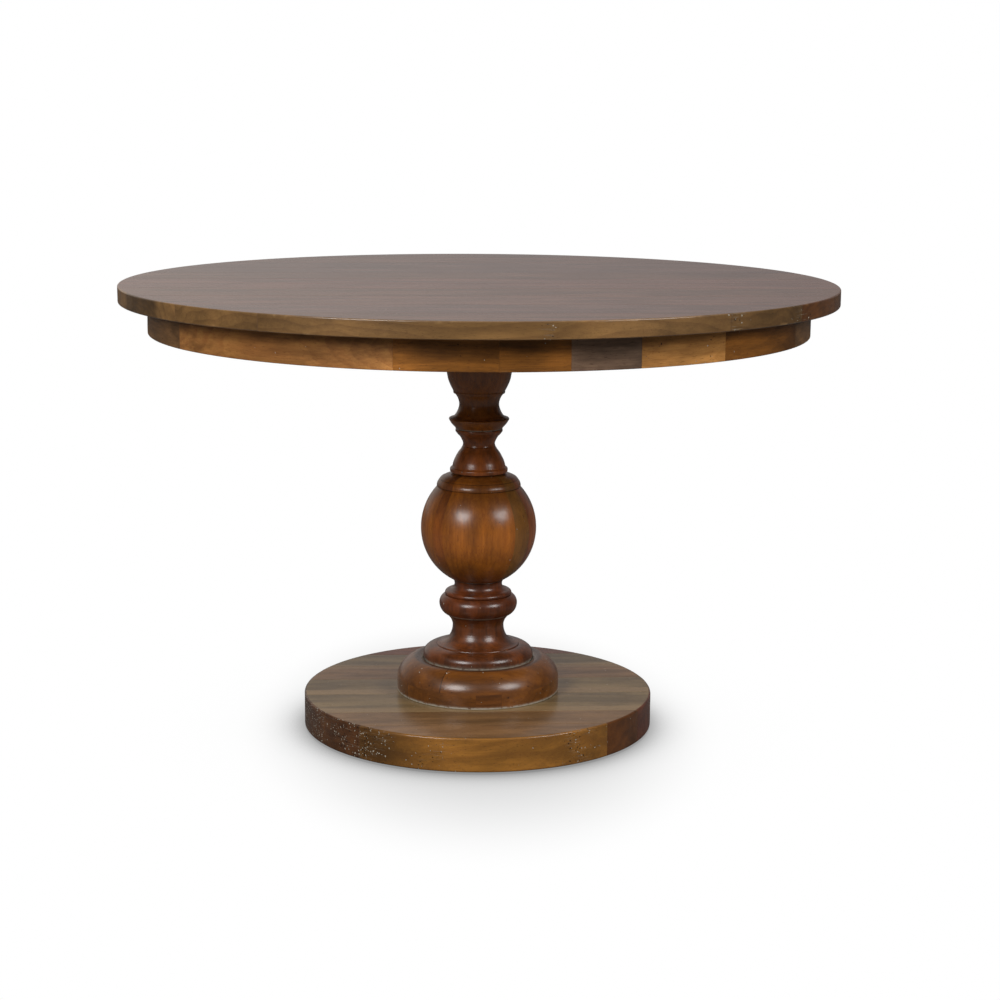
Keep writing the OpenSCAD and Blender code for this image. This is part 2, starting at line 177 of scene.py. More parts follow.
Layers = dict[Attribute, np.ndarray]
LayerMaker = Callable[[np.ndarray, np.ndarray, np.ndarray], Layers]


# ------------------------------------------------------------------ node trees


class NodeBoard:
    """A small helper that adds nodes to one tree and wires them by name."""

    def __init__(self, tree: bpy.types.NodeTree) -> None:
        """Work on a tree.

        Args:
            tree: The node tree of a group, a material or a world.
        """
        self.tree = tree

    def add(self, kind: str, props: dict | None = None, **inputs: Source) -> bpy.types.Node:
        """Add a node.

        Args:
            kind: Type of the node.
            props: Settings of the node by name.
            **inputs: Values or sockets for its inputs; an underscore stands for a space, and
                names such as in0 count the inputs.

        Returns:
            The new node.
        """
        node = self.tree.nodes.new(kind)
        for name, value in (props or {}).items():
            setattr(node, name, value)
        for name, value in inputs.items():
            key = int(name[2:]) if name[:2] == "in" and name[2:].isdigit() else name.replace("_", " ")
            self.wire(value, node.inputs[key])
        return node

    def wire(self, value: Source, socket: bpy.types.NodeSocket) -> None:
        """Link a socket to an input, or set the input's own value.

        Args:
            value: The socket to link from, or the value.
            socket: The input.
        """
        if isinstance(value, bpy.types.NodeSocket):
            self.tree.links.new(value, socket)
        else:
            socket.default_value = value

    def math(self, operation: str, *values: Source, clamp: bool = False) -> bpy.types.NodeSocket:
        """Do a sum on one, two or three values.

        Args:
            operation: The kind of sum.
            *values: What it's done on, in order.
            clamp: Whether the result is kept from 0 to 1.

        Returns:
            The result.
        """
        inputs = {f"in{k}": value for k, value in enumerate(values)}
        return self.add("ShaderNodeMath", {"operation": operation, "use_clamp": clamp}, **inputs).outputs[0]

    def vector(self, operation: str, *values: Source) -> bpy.types.NodeSocket:
        """Do a sum on vectors.

        Args:
            operation: The kind of sum.
            *values: What it's done on, in order.

        Returns:
            The result: a number for a length, a vector for the others.
        """
        inputs = {f"in{k}": value for k, value in enumerate(values)}
        node = self.add("ShaderNodeVectorMath", {"operation": operation}, **inputs)
        return node.outputs["Value" if operation == "LENGTH" else "Vector"]

    def noise(self, place: Source, scale: float, detail: float = 2.0,
              rough: float = 0.5) -> bpy.types.NodeSocket:
        """Make a noise.

        Args:
            place: Where it's looked up.
            scale: How close its swells lie.
            detail: How many finer layers it has.
            rough: How strong they are.

        Returns:
            Its value, about 0.5 on the whole.
        """
        node = self.add("ShaderNodeTexNoise", Vector=place, Scale=scale, Detail=detail, Roughness=rough)
        return node.outputs["Fac"]

    def shaken(self, place: Source, pattern: Source, scale: float, reach: Source) -> bpy.types.NodeSocket:
        """Move a place about by a noise.

        Args:
            place: The place.
            pattern: Where the noise is looked up.
            scale: How close its swells lie.
            reach: How far the place may move.

        Returns:
            The moved place.
        """
        drift = self.add("ShaderNodeTexNoise", Vector=pattern, Scale=scale, Detail=2.0).outputs["Color"]
        centred = self.vector("SUBTRACT", drift, (0.5, 0.5, 0.5))
        shift = self.add("ShaderNodeVectorMath", {"operation": "SCALE"}, in0=centred, Scale=reach)
        return self.vector("ADD", place, shift.outputs["Vector"])

    def span(self, value: Source, low: float, high: float, start: float = 0.0, end: float = 1.0,
             smooth: bool = True) -> bpy.types.NodeSocket:
        """Spread a stretch of a value over another stretch.

        Args:
            value: The value.
            low: Where its stretch begins.
            high: Where its stretch ends.
            start: Result at the beginning and below it.
            end: Result at the end and above it.
            smooth: Whether the result eases in and out.

        Returns:
            The result.
        """
        props = {"interpolation_type": "SMOOTHSTEP" if smooth else "LINEAR"}
        node = self.add("ShaderNodeMapRange", props, in0=value, in1=low, in2=high, in3=start, in4=end)
        return node.outputs[0]

    def mix(self, share: Source, a: Source, b: Source, blend: str = "MIX") -> bpy.types.NodeSocket:
        """Lay a share of one colour on another.

        Args:
            share: The share, from 0 to 1.
            a: The colour below.
            b: The colour laid on it.
            blend: How they combine.

        Returns:
            The colour.
        """
        props = {"data_type": "RGBA", "blend_type": blend}
        return self.add("ShaderNodeMix", props, in0=share, in6=a, in7=b).outputs[2]

    def grey(self, value: Source) -> bpy.types.NodeSocket:
        """Return a value as a grey."""
        return self.add("ShaderNodeCombineColor", Red=value, Green=value, Blue=value).outputs[0]

    def attribute(self, layer: Attribute, output: str = "Fac") -> bpy.types.NodeSocket:
        """Return an output of a mesh layer."""
        return self.add("ShaderNodeAttribute", {"attribute_name": layer.value}).outputs[output]


def new_material(name: str) -> tuple[bpy.types.Material, NodeBoard]:
    """Make a material with an empty node tree.

    Args:
        name: Name of the material.

    Returns:
        The material, and a board on its tree.
    """
    mat = bpy.data.materials.new(name)
    mat.use_nodes = True
    mat.node_tree.nodes.clear()
    return mat, NodeBoard(mat.node_tree)


class EffectGroup:
    """A shader effect that more than one finish uses, built once."""

    def __init__(self, name: str, inputs: Sequence[tuple[str, str, float]],
                 outputs: Sequence[tuple[str, str]]) -> None:
        """Make an empty group.

        Args:
            name: Name of the group.
            inputs: Name, kind ("Float" or "Vector") and default of each input.
            outputs: Name and kind ("Float", "Color" or "Vector") of each output.
        """
        self.tree = bpy.data.node_groups.new(name, "ShaderNodeTree")
        for label, kind, default in inputs:
            socket = self.tree.interface.new_socket(label, in_out="INPUT", socket_type=f"NodeSocket{kind}")
            if kind == "Float":
                socket.default_value = default
        for label, kind in outputs:
            self.tree.interface.new_socket(label, in_out="OUTPUT", socket_type=f"NodeSocket{kind}")
        self.board = NodeBoard(self.tree)
        self.given = self.board.add("NodeGroupInput").outputs
        self.result = self.board.add("NodeGroupOutput").inputs

    def place(self, board: NodeBoard, **inputs: Source) -> bpy.types.NodeOutputs:
        """Put the group in a material with its own values, and return its outputs."""
        return board.add("ShaderNodeGroup", {"node_tree": self.tree}, **inputs).outputs


def make_wood_figure() -> EffectGroup:
    """Build the solid figure of wood: growth rings, fibre streaks and pores along local X.

    Returns:
        The group, with Rings, Fibre, Pores and Cloud as its outputs, each from 0 to 1.
    """
    group = EffectGroup(
        "wood_figure",
        [("Place", "Vector", 0.0), ("Ring Spacing", "Float", 0.009), ("Waviness", "Float", 0.02)],
        [("Rings", "Float"), ("Fibre", "Float"), ("Pores", "Float"), ("Cloud", "Float")],
    )
    b, given = group.board, group.given
    place = given["Place"]
    drawn_out = b.vector("MULTIPLY", place, (1.1, 5.0, 5.0))
    bent = b.shaken(place, drawn_out, 1.0, b.math("MULTIPLY", given["Waviness"], 4.0))
    across = b.vector("MULTIPLY", bent, (0.03, 1.0, 1.0))
    depth = b.math("DIVIDE", b.vector("LENGTH", across), given["Ring Spacing"])
    uneven = b.noise(across, 22.0, 1.0)
    turn = b.math("FRACT", b.math("ADD", depth, b.math("MULTIPLY", uneven, 2.6)))
    late = b.span(turn, 0.25, 0.93)
    fall = b.span(turn, 0.94, 1.0, 1.0, 0.0)
    b.wire(b.math("MULTIPLY", late, fall), group.result["Rings"])
    streaks = b.vector("MULTIPLY", place, (7.0, 330.0, 330.0))
    broad = b.vector("MULTIPLY", place, (2.2, 70.0, 70.0))
    fine = b.math("MULTIPLY", b.noise(streaks, 1.0, 3.0, 0.6), 0.6)
    b.wire(b.math("ADD", fine, b.math("MULTIPLY", b.noise(broad, 1.0, 2.0), 0.4)), group.result["Fibre"])
    dashes = b.vector("MULTIPLY", place, (85.0, 1250.0, 1250.0))
    b.wire(b.span(b.noise(dashes, 1.0, 1.0), 0.62, 0.72), group.result["Pores"])
    patches = b.vector("MULTIPLY", place, (6.0, 26.0, 26.0))
    b.wire(b.noise(patches, 1.0, 4.0, 0.6), group.result["Cloud"])
    return group


def make_edge_wear() -> EffectGroup:
    """Build rubbed edges.

    Returns:
        The group, with Mask as a mask that breaks up along the arrises of a piece.
    """
    group = EffectGroup(
        "edge_wear",
        [("Arris", "Float", 0.0), ("Place", "Vector", 0.0), ("Amount", "Float", 0.5)],
        [("Mask", "Float")],
    )
    b, given = group.board, group.given
    extra = b.math("SUBTRACT", given["Amount"], 0.5)
    patchy = b.math("ADD", b.noise(given["Place"], 38.0, 3.0, 0.6), extra)
    b.wire(b.math("MULTIPLY", given["Arris"], b.span(patchy, 0.42, 0.62)), group.result["Mask"])
    return group


def make_knocks() -> EffectGroup:
    """Build the marks of use, in clusters that are thicker where Wear is higher.

    Returns:
        The group, with Pits (dark), Chips (pale) and Scratches (pale, level) as masks and Hollow as
        the depth of them all.
    """
    group = EffectGroup(
        "knocks",
        [("Wear", "Float", 0.0), ("Place", "Vector", 0.0), ("Size", "Float", 0.004)],
        [("Pits", "Float"), ("Chips", "Float"), ("Scratches", "Float"), ("Hollow", "Float")],
    )
    b, given = group.board, group.given
    cluster = b.span(b.noise(given["Place"], 30.0, 4.0, 0.65), 0.4, 0.58, 0.1, 1.4)
    wear = b.math("MULTIPLY", given["Wear"], cluster)
    ragged = b.shaken(given["Place"], given["Place"], 420.0, b.math("MULTIPLY", given["Size"], 1.15))
    closeness = b.math("DIVIDE", 1.0, given["Size"])
    cells = b.add("ShaderNodeTexVoronoi", Vector=ragged, Scale=closeness, Randomness=1.0).outputs
    lot = b.add("ShaderNodeSeparateColor", in0=cells["Color"]).outputs
    chosen = b.span(lot[0], b.math("SUBTRACT", 1.0, wear), 1.02, 0.0, 1.0, smooth=False)
    spread = b.math("MULTIPLY", b.math("SQRT", chosen), 0.52)
    inside = b.math("SUBTRACT", spread, cells["Distance"])
    pits = b.span(inside, 0.0, 0.14)
    chips = b.math("MULTIPLY", b.span(inside, 0.07, 0.17), b.span(lot[1], 0.4, 0.44))
    level = b.noise(b.vector("MULTIPLY", given["Place"], (26.0, 26.0, 1500.0)), 1.0, 1.0)
    scratches = b.math("MULTIPLY", b.span(level, 0.62, 0.72), b.span(wear, 0.06, 0.3))
    b.wire(b.math("MULTIPLY", pits, b.math("SUBTRACT", 1.0, chips)), group.result["Pits"])
    b.wire(chips, group.result["Chips"])
    b.wire(scratches, group.result["Scratches"])
    b.wire(b.math("MAXIMUM", pits, b.math("MULTIPLY", scratches, 0.4)), group.result["Hollow"])
    return group


def make_grime() -> EffectGroup:
    """Build the marks of handling.

    Returns:
        The group, with Smear (broad) and Speckle (fine specks) as masks.
    """
    group = EffectGroup("grime", [("Place", "Vector", 0.0)], [("Smear", "Float"), ("Speckle", "Float")])
    b, given = group.board, group.given
    smear = b.noise(given["Place"], 9.0, 4.0, 0.6)
    b.wire(b.span(smear, 0.35, 0.7), group.result["Smear"])
    b.wire(b.span(b.noise(given["Place"], 420.0, 2.0, 0.6), 0.64, 0.72), group.result["Speckle"])
    return group


@dataclass(frozen=True)
class Effects:
    """The shared shader effects.

    Attributes:
        figure: The figure of wood.
        edges: Rubbed edges.
        knocks: Marks of use.
        grime: Marks of handling.
    """

    figure: EffectGroup
    edges: EffectGroup
    knocks: EffectGroup
    grime: EffectGroup


@dataclass(frozen=True)
class WoodFinish:
    """A lacquered or bare wood.

    Attributes:
        name: Name of the material.
        ring_spacing: Distance between growth rings, in metres.
        ring_share: How strongly the rings show, from 0 to 1.
        fibre_share: How strongly the streaks show.
        roughness: Roughness of the wood under its lacquer.
        coat: Weight of the lacquer.
        coat_roughness: Roughness of the lacquer.
        worn_tone: Colour of rubbed arrises.
        wear_amount: How much of the arrises is rubbed.
        knock_size: Distance between marks of use, in metres.
        smear: How much handling marks change the sheen.
        cloud_share: How much lighter and darker the wood is in patches.
        sap_share: How strongly sapwood shows.
        relief: Depth of the grain's relief, in metres.
    """

    name: str
    ring_spacing: float = 0.009
    ring_share: float = 0.55
    fibre_share: float = 0.5
    roughness: float = 0.5
    coat: float = 0.4
    coat_roughness: float = 0.2
    worn_tone: str = "#8f7048"
    wear_amount: float = 0.35
    knock_size: float = 0.0038
    smear: float = 0.1
    cloud_share: float = 0.24
    sap_share: float = 0.55
    relief: float = 0.00012

    def material(self, effects: Effects) -> bpy.types.Material:
        """Build the material.

        Args:
            effects: The shared effects to place in it.

        Returns:
            The material.
        """
        mat, b = new_material(self.name)
        place = b.attribute(Attribute.GRAIN, "Vector")
        where = b.add("ShaderNodeTexCoord").outputs["Object"]
        wood = effects.figure.place(b, Place=place, Ring_Spacing=self.ring_spacing)
        marks = effects.knocks.place(b, Wear=b.attribute(Attribute.WEAR), Place=where, Size=self.knock_size)
        arris = b.attribute(Attribute.ARRIS)
        rubbed = effects.edges.place(b, Arris=arris, Place=where, Amount=self.wear_amount)
        dirt = effects.grime.place(b, Place=where)
        colour = self.colour(b, place, wood, marks, rubbed, dirt)
        seam = b.span(b.attribute(Attribute.JOINT), 0.72, 0.95)
        colour = b.mix(b.math("MULTIPLY", seam, 0.75), colour, linear(Mark.SEAM.value))
        rough = b.math("ADD", self.roughness - self.smear / 2, b.math("MULTIPLY", dirt["Smear"], self.smear))
        rough = b.math("ADD", rough, b.math("MULTIPLY", wood["Pores"], 0.25), clamp=True)
        lacquer = b.math("MULTIPLY", b.math("SUBTRACT", 1.0, marks["Hollow"]), self.coat)
        height = b.math("MULTIPLY", wood["Fibre"], 0.5)
        for mask, depth in ((wood["Pores"], 0.6), (marks["Hollow"], 5.0), (seam, 1.6)):
            height = b.math("SUBTRACT", height, b.math("MULTIPLY", mask, depth))
        bump = b.add("ShaderNodeBump", Height=height, Distance=self.relief, Strength=1.0).outputs["Normal"]
        shader = b.add("ShaderNodeBsdfPrincipled", Base_Color=colour, Roughness=rough, Normal=bump,
                       Coat_Weight=lacquer, Coat_Roughness=self.coat_roughness, Coat_IOR=1.48, IOR=1.45)
        shader.inputs["Specular IOR Level"].default_value = 0.14
        b.add("ShaderNodeOutputMaterial", Surface=shader.outputs[0])
        return mat

    def colour(self, b: NodeBoard, place: bpy.types.NodeSocket, wood: bpy.types.NodeOutputs,
               marks: bpy.types.NodeOutputs, rubbed: bpy.types.NodeOutputs,
               dirt: bpy.types.NodeOutputs) -> bpy.types.NodeSocket:
        """Lay the wood's colours: rings, streaks, pores, then wear, dirt, painted shade in the creases and
        dust.

        Args:
            b: The board of the material's tree.
            place: Where each point is in the wood.
            wood: Outputs of the figure.
            marks: Outputs of the knocks.
            rubbed: Outputs of the edge wear.
            dirt: Outputs of the grime.

        Returns:
            The colour of the surface.
        """
        light = b.attribute(Attribute.LIGHT, "Color")
        dark = b.attribute(Attribute.DARK, "Color")
        colour = b.mix(b.math("MULTIPLY", wood["Rings"], self.ring_share), light, dark)
        streak = b.span(wood["Fibre"], 0.36, 0.66, 0.0, self.fibre_share)
        colour = b.mix(streak, colour, dark)
        cloud = b.span(wood["Cloud"], 0.3, 0.7, 1.0 - self.cloud_share, 1.0 + self.cloud_share)
        colour = b.mix(1.0, colour, b.grey(cloud), "MULTIPLY")
        edge = b.math("ADD", b.attribute(Attribute.SAP), b.math("SUBTRACT", wood["Cloud"], 0.5))
        sap = b.span(edge, 0.8, 1.15, 0.0, self.sap_share)
        colour = b.mix(sap, colour, linear(Stock.SAPWOOD.value.light))
        for mask, share, tone in (
            (wood["Pores"], 0.42, Mark.PORE.value),
            (dirt["Speckle"], 0.18, Mark.SPECK.value),
            (rubbed["Mask"], 0.5, self.worn_tone),
            (marks["Pits"], 0.85, Mark.PIT.value),
            (marks["Scratches"], 0.3, Mark.SCRATCH.value),
            (marks["Chips"], 0.85, Mark.CHIP.value),
        ):
            colour = b.mix(b.math("MULTIPLY", mask, share), colour, linear(tone))
        # painted shade: darkens the creases and grooves
        crease_shade = b.span(b.attribute(Attribute.CREASE), 0.25, 0.95, 0.0, 0.66)
        colour = b.mix(crease_shade, colour, linear(Mark.CREASE.value))
        settled = b.span(b.noise(place, 110.0, 4.0, 0.7), 0.3, 0.56, 0.1, 1.0)
        dust = b.math("MULTIPLY", b.attribute(Attribute.DUST), settled, clamp=True)
        return b.mix(b.math("MULTIPLY", dust, 0.85), colour, linear(Mark.DUST.value))


@dataclass(frozen=True)
class MetalFinish:
    """A plated or bright steel.

    Attributes:
        name: Name of the material.
        tone: Colour of the metal.
        roughness: Mean roughness.
        stain: Colour of the dulled spots.
    """

    name: str
    tone: str
    roughness: float
    stain: str

    def material(self, effects: Effects) -> bpy.types.Material:
        """Build the material, with dull spots and fine scratches.

        Args:
            effects: The shared effects to place in it.

        Returns:
            The material.
        """
        mat, b = new_material(self.name)
        where = b.add("ShaderNodeTexCoord").outputs["Object"]
        dirt = effects.grime.place(b, Place=b.vector("MULTIPLY", where, (6.0, 6.0, 6.0)))
        scratched = b.noise(b.vector("MULTIPLY", where, (2600.0, 160.0, 900.0)), 1.0, 2.0)
        colour = b.mix(b.math("MULTIPLY", dirt["Smear"], 0.4), linear(self.tone), linear(self.stain))
        rough = b.math("ADD", self.roughness, b.math("MULTIPLY", dirt["Smear"], 0.2))
        rough = b.math("ADD", rough, b.math("MULTIPLY", scratched, 0.12))
        bump = b.add("ShaderNodeBump", Height=scratched, Distance=0.00003, Strength=0.7).outputs["Normal"]
        shader = b.add("ShaderNodeBsdfPrincipled", Base_Color=colour, Roughness=rough, Normal=bump,
                       Metallic=1.0)
        b.add("ShaderNodeOutputMaterial", Surface=shader.outputs[0])
        return mat


@dataclass(frozen=True)
class MouldedFinish:
    """Moulded nylon, slightly scuffed.

    Attributes:
        name: Name of the material.
        tone: Colour of the nylon.
        scuff: Colour of its scuffs.
    """

    name: str
    tone: str
    scuff: str

    def material(self, effects: Effects) -> bpy.types.Material:
        """Build the material.

        Args:
            effects: The shared effects to place in it.

        Returns:
            The material.
        """
        mat, b = new_material(self.name)
        where = b.add("ShaderNodeTexCoord").outputs["Object"]
        dirt = effects.grime.place(b, Place=b.vector("MULTIPLY", where, (8.0, 8.0, 8.0)))
        colour = b.mix(b.math("MULTIPLY", dirt["Smear"], 0.5), linear(self.tone), linear(self.scuff))
        rough = b.math("ADD", 0.45, b.math("MULTIPLY", dirt["Smear"], 0.25))
        bump = b.add("ShaderNodeBump", Height=b.noise(where, 2400.0), Distance=0.00005).outputs["Normal"]
        shader = b.add("ShaderNodeBsdfPrincipled", Base_Color=colour, Roughness=rough, Normal=bump)
        b.add("ShaderNodeOutputMaterial", Surface=shader.outputs[0])
        return mat


# ------------------------------------------------------------------ meshes


class Side(IntEnum):
    """Which side of a board a face belongs to."""

    UPPER = 0
    LOWER = 1
    RIM = 2
    JOINT = 3


@dataclass
class Draft:
    """A mesh in the making.

    Attributes:
        verts: Corner positions, in metres.
        faces: Corner numbers of each face.
        sides: The side that each face belongs to.
        arris: How close each corner is to an arris, from 0 to 1.
        crease: How close each corner is to a crease, from 0 to 1, which sets the painted shade there.
    """

    verts: np.ndarray
    faces: list[tuple[int, ...]]
    sides: list[int]
    arris: np.ndarray
    crease: np.ndarray

    def build(self, name: str, layers: LayerMaker, sharp_degrees: float = 40.0) -> bpy.types.Object:
        """Make the object and its layers.

        Args:
            name: Name of the piece.
            layers: Gives the layers at each face corner from the corner's place, its face's side and
                its face's middle.
            sharp_degrees: Edges that turn by more than this stay sharp.

        Returns:
            The object, in the scene.
        """
        mesh = bpy.data.meshes.new(name)
        mesh.from_pydata(self.verts.tolist(), [], self.faces)
        mesh.update()
        counts = np.array([len(f) for f in self.faces])
        corner_vert = np.concatenate([np.array(f) for f in self.faces])
        corner_face = np.repeat(np.arange(len(counts)), counts)
        places = self.verts[corner_vert]
        middles = np.zeros((len(counts), 3))
        np.add.at(middles, corner_face, places)
        middles = (middles / counts[:, None])[corner_face]
        values = layers(places, np.array(self.sides)[corner_face], middles)
        values[Attribute.ARRIS] = self.arris[corner_vert]
        crease = self.crease[corner_vert]
        values[Attribute.CREASE] = np.maximum(crease, values.get(Attribute.CREASE, crease))
        for layer in (Attribute.JOINT, Attribute.DUST):
            values.setdefault(layer, np.zeros(len(places)))
        for layer, data in values.items():
            write_layer(mesh, layer, data)
        return stand(name, mesh, sharp_degrees)


def write_layer(mesh: bpy.types.Mesh, layer: Attribute, data: np.ndarray) -> None:
    """Store a layer at a mesh's face corners.

    Args:
        mesh: The mesh.
        layer: Which layer it is.
        data: One value, three or four values a corner.
    """
    kinds = {1: ("FLOAT", "value"), 3: ("FLOAT_VECTOR", "vector"), 4: ("FLOAT_COLOR", "color")}
    kind, prop = kinds[1 if data.ndim == 1 else data.shape[1]]
    store = mesh.attributes.new(layer.value, kind, "CORNER")
    store.data.foreach_set(prop, np.ascontiguousarray(data, dtype=np.float32).ravel())


def flatten(piece: bpy.types.Object) -> None:
    """Keep the flat faces of an eased piece flat to the light."""
    piece.modifiers.new("flat_faces", "WEIGHTED_NORMAL").keep_sharp = True


def settle(piece: bpy.types.Object, material: bpy.types.Material, slot: str, *nodes: str) -> None:
    """Dress a finished piece and tie it to the frame.

    Args:
        piece: The piece.
        material: Its finish.
        slot: The record's material slot; not used.
        *nodes: The frame's nodes that it stands for.
    """
    piece.data.materials.clear()
    piece.data.materials.append(material)
    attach(piece, BODY)
    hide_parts(*nodes)
    log.info("%s: %d faces, for %s", piece.name, len(piece.data.polygons), ", ".join(nodes))


def mesh_places(mesh: bpy.types.Mesh) -> np.ndarray:
    """Read the corner places of a mesh.

    Args:
        mesh: The mesh.

    Returns:
        The places, one a row.
    """
    places = np.empty(len(mesh.vertices) * 3)
    mesh.vertices.foreach_get("co", places)
    return places.reshape(-1, 3)


def node_places(node: str) -> np.ndarray:
    """Return the corner places of one of the frame's nodes."""
    return mesh_places(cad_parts[node].data)


def stand(name: str, mesh: bpy.types.Mesh, sharp_degrees: float) -> bpy.types.Object:
    """Shade a mesh smoothly between its sharp edges and put it in the scene.

    Args:
        name: Name of the piece.
        mesh: The mesh.
        sharp_degrees: Edges that turn by more than this stay sharp.

    Returns:
        The piece.
    """
    mesh.shade_smooth()
    mesh.set_sharp_from_angle(angle=math.radians(sharp_degrees))
    piece = bpy.data.objects.new(name, mesh)
    bpy.context.scene.collection.objects.link(piece)
    return piece


def front_angle(places: np.ndarray) -> np.ndarray:
    """Return the angle of each place from the front, in degrees, positive to the right."""
    return np.degrees(np.arctan2(places[:, 0], -places[:, 1]))


def swell(turn: np.ndarray, centre: float, width: float) -> np.ndarray:
    """Rise smoothly to 1 at a centre and fall away over a width."""
    return np.exp(-((turn - centre) / width) ** 2)


def ramp(turn: np.ndarray, start: float, end: float) -> np.ndarray:
    """Rise smoothly from 0 at the start to 1 at the end, which may lie before the start."""
    share = np.clip((turn - start) / (end - start), 0, 1)
    return share * share * (3 - 2 * share)


def cut_from_log(rng: random.Random, along: Point, *across: Point) -> np.ndarray:
    """Choose where in its log a piece was cut, so that no two pieces show the same figure.

    Args:
        rng: Source of the random numbers.
        along: Least and greatest shift along the grain, in metres.
        *across: The same for each of the two ways across it.

    Returns:
        The shift from the piece's own place to its place in the log.
    """
    return np.array([rng.uniform(least, greatest) for least, greatest in (along, *across)])


@dataclass(frozen=True)
class Easing:
    """How the edges of a board are eased, in metres.

    Attributes:
        rim: Rounding of the outer rim.
        joint: Rounding of the edges along the joints.
        gap: Half of the fine gap that shows at a joint.
        step: Height of a course of faces up the rim.
        margin: Width of the flat strip between the rounding and the middle of a face.
    """

    rim: float = 2 * MM
    joint: float = 0.45 * MM
    gap: float = 0.12 * MM
    step: float = 3.2 * MM
    margin: float = 1.2 * MM

    def courses(self, low: float, high: float) -> list[tuple[float, float, float, float]]:
        """List the outlines from the lower face round the rim to the upper face.

        Args:
            low: Height of the lower face.
            high: Height of the upper face.

        Returns:
            For each outline its inset at the rim, its inset at the joints, its height and how near
            it is to an arris.
        """
        turns = [math.radians(a) for a in (0, 22.5, 45, 67.5, 90)]
        lower = [(self.margin, low, 0.0)]
        lower += [(1 - math.sin(t), low + self.rim * (1 - math.cos(t)), 1.0) for t in turns]
        count = max(1, round((high - low - 2 * self.rim) / self.step))
        course = (high - low - 2 * self.rim) / count
        side = [(0.0, low + self.rim + course * k, 0.0) for k in range(1, count)]
        upper = [(1 - math.sin(t), high - self.rim * (1 - math.cos(t)), 1.0) for t in reversed(turns)]
        upper += [(self.margin, high, 0.0)]
        stack = lower + side + upper
        out = []
        for k, (share, z, arris) in enumerate(stack):
            ends = k in (0, len(stack) - 1)
            rim = self.rim + self.margin if ends else self.rim * share
            joint = self.joint + self.margin if ends else self.joint * share
            out.append((rim, joint + self.gap, z, arris))
        return out


@dataclass(frozen=True)
class Dent:
    """A knock in a rim.

    Attributes:
        angle: Where it is round the rim, in radians.
        height: How high up it is, in metres.
        width: Its width.
        depth: Its depth.
    """

    angle: float
    height: float
    width: float
    depth: float


def scatter_dents(rng: random.Random, count: int, low: float, high: float) -> list[Dent]:
    """Choose small knocks round a rim.

    Args:
        rng: Source of the random numbers.
        count: How many there are.
        low: Lowest height.
        high: Highest height.

    Returns:
        The dents.
    """
    return [
        Dent(rng.uniform(-math.pi, math.pi), rng.uniform(low, high),
             rng.uniform(1.2, 4.5) * MM, rng.uniform(0.15, 0.6) * MM)
        for _ in range(count)
    ]


def press_dents(verts: np.ndarray, radius: float, dents: Sequence[Dent]) -> None:
    """Push a rim's corners in where it was knocked, and let it wander by a hair.

    Args:
        verts: Corner positions, changed in place.
        radius: Radius of the rim.
        dents: The knocks.
    """
    reach = np.hypot(verts[:, 0], verts[:, 1])
    angle = np.arctan2(verts[:, 1], verts[:, 0])
    near = reach > radius - 3 * MM
    push = 0.09 * MM * (1 + np.sin(angle * 23 + 1.3 * np.sin(angle * 7)) * np.cos(verts[:, 2] * 190))
    for dent in dents:
        turn = (angle - dent.angle + math.pi) % (2 * math.pi) - math.pi
        away = np.hypot(turn * radius, verts[:, 2] - dent.height) / dent.width
        push += dent.depth * np.exp(-away ** 2)
    scale = np.where(near, (reach - push) / np.maximum(reach, 1e-9), 1.0)
    verts[:, 0] *= scale
    verts[:, 1] *= scale


def stack_outlines(outlines: list[np.ndarray], heights: list[float], arris: list[float],
                   rim_edges: np.ndarray) -> Draft:
    """Join outlines of the same count into a closed solid.

    Args:
        outlines: Plan outlines from the lower face to the upper one.
        heights: Height of each.
        arris: Nearness of each to an arris.
        rim_edges: Whether the outline's edge from each point to the next is on the rim.

    Returns:
        The draft, with flat faces below and above.
    """
    count = len(outlines[0])
    verts = np.concatenate([np.column_stack([o, np.full(count, z)]) for o, z in zip(outlines, heights)])
    faces: list[tuple[int, ...]] = [tuple(range(count - 1, -1, -1))]
    sides = [int(Side.LOWER)]
    last = len(outlines) - 1
    for k in range(last):
        for i in range(count):
            j = (i + 1) % count
            faces.append((k * count + i, k * count + j, (k + 1) * count + j, (k + 1) * count + i))
            flat = Side.LOWER if k == 0 else Side.UPPER
            side = Side.RIM if rim_edges[i] else Side.JOINT
            sides.append(int(flat if k in (0, last - 1) else side))
    faces.append(tuple(last * count + i for i in range(count)))
    sides.append(int(Side.UPPER))
    return Draft(verts, faces, sides, np.repeat(arris, count), np.zeros(len(verts)))


@dataclass(frozen=True)
class BoardCut:
    """One board of a round panel.

    Attributes:
        face: The wood of its faces.
        rim: The wood of its rim, or of the left end of it.
        far_rim: The wood of the right end of its rim, where it differs.
        sap: Share of the board's width that is pale sapwood, along its front edge, or along its back
            edge where it's negative.
    """

    face: Stock
    rim: Stock
    far_rim: Stock | None = None
    sap: float = 0.0


LIGHT_WEAR = 0.02  # the faces and the joints of boards are hardly knocked


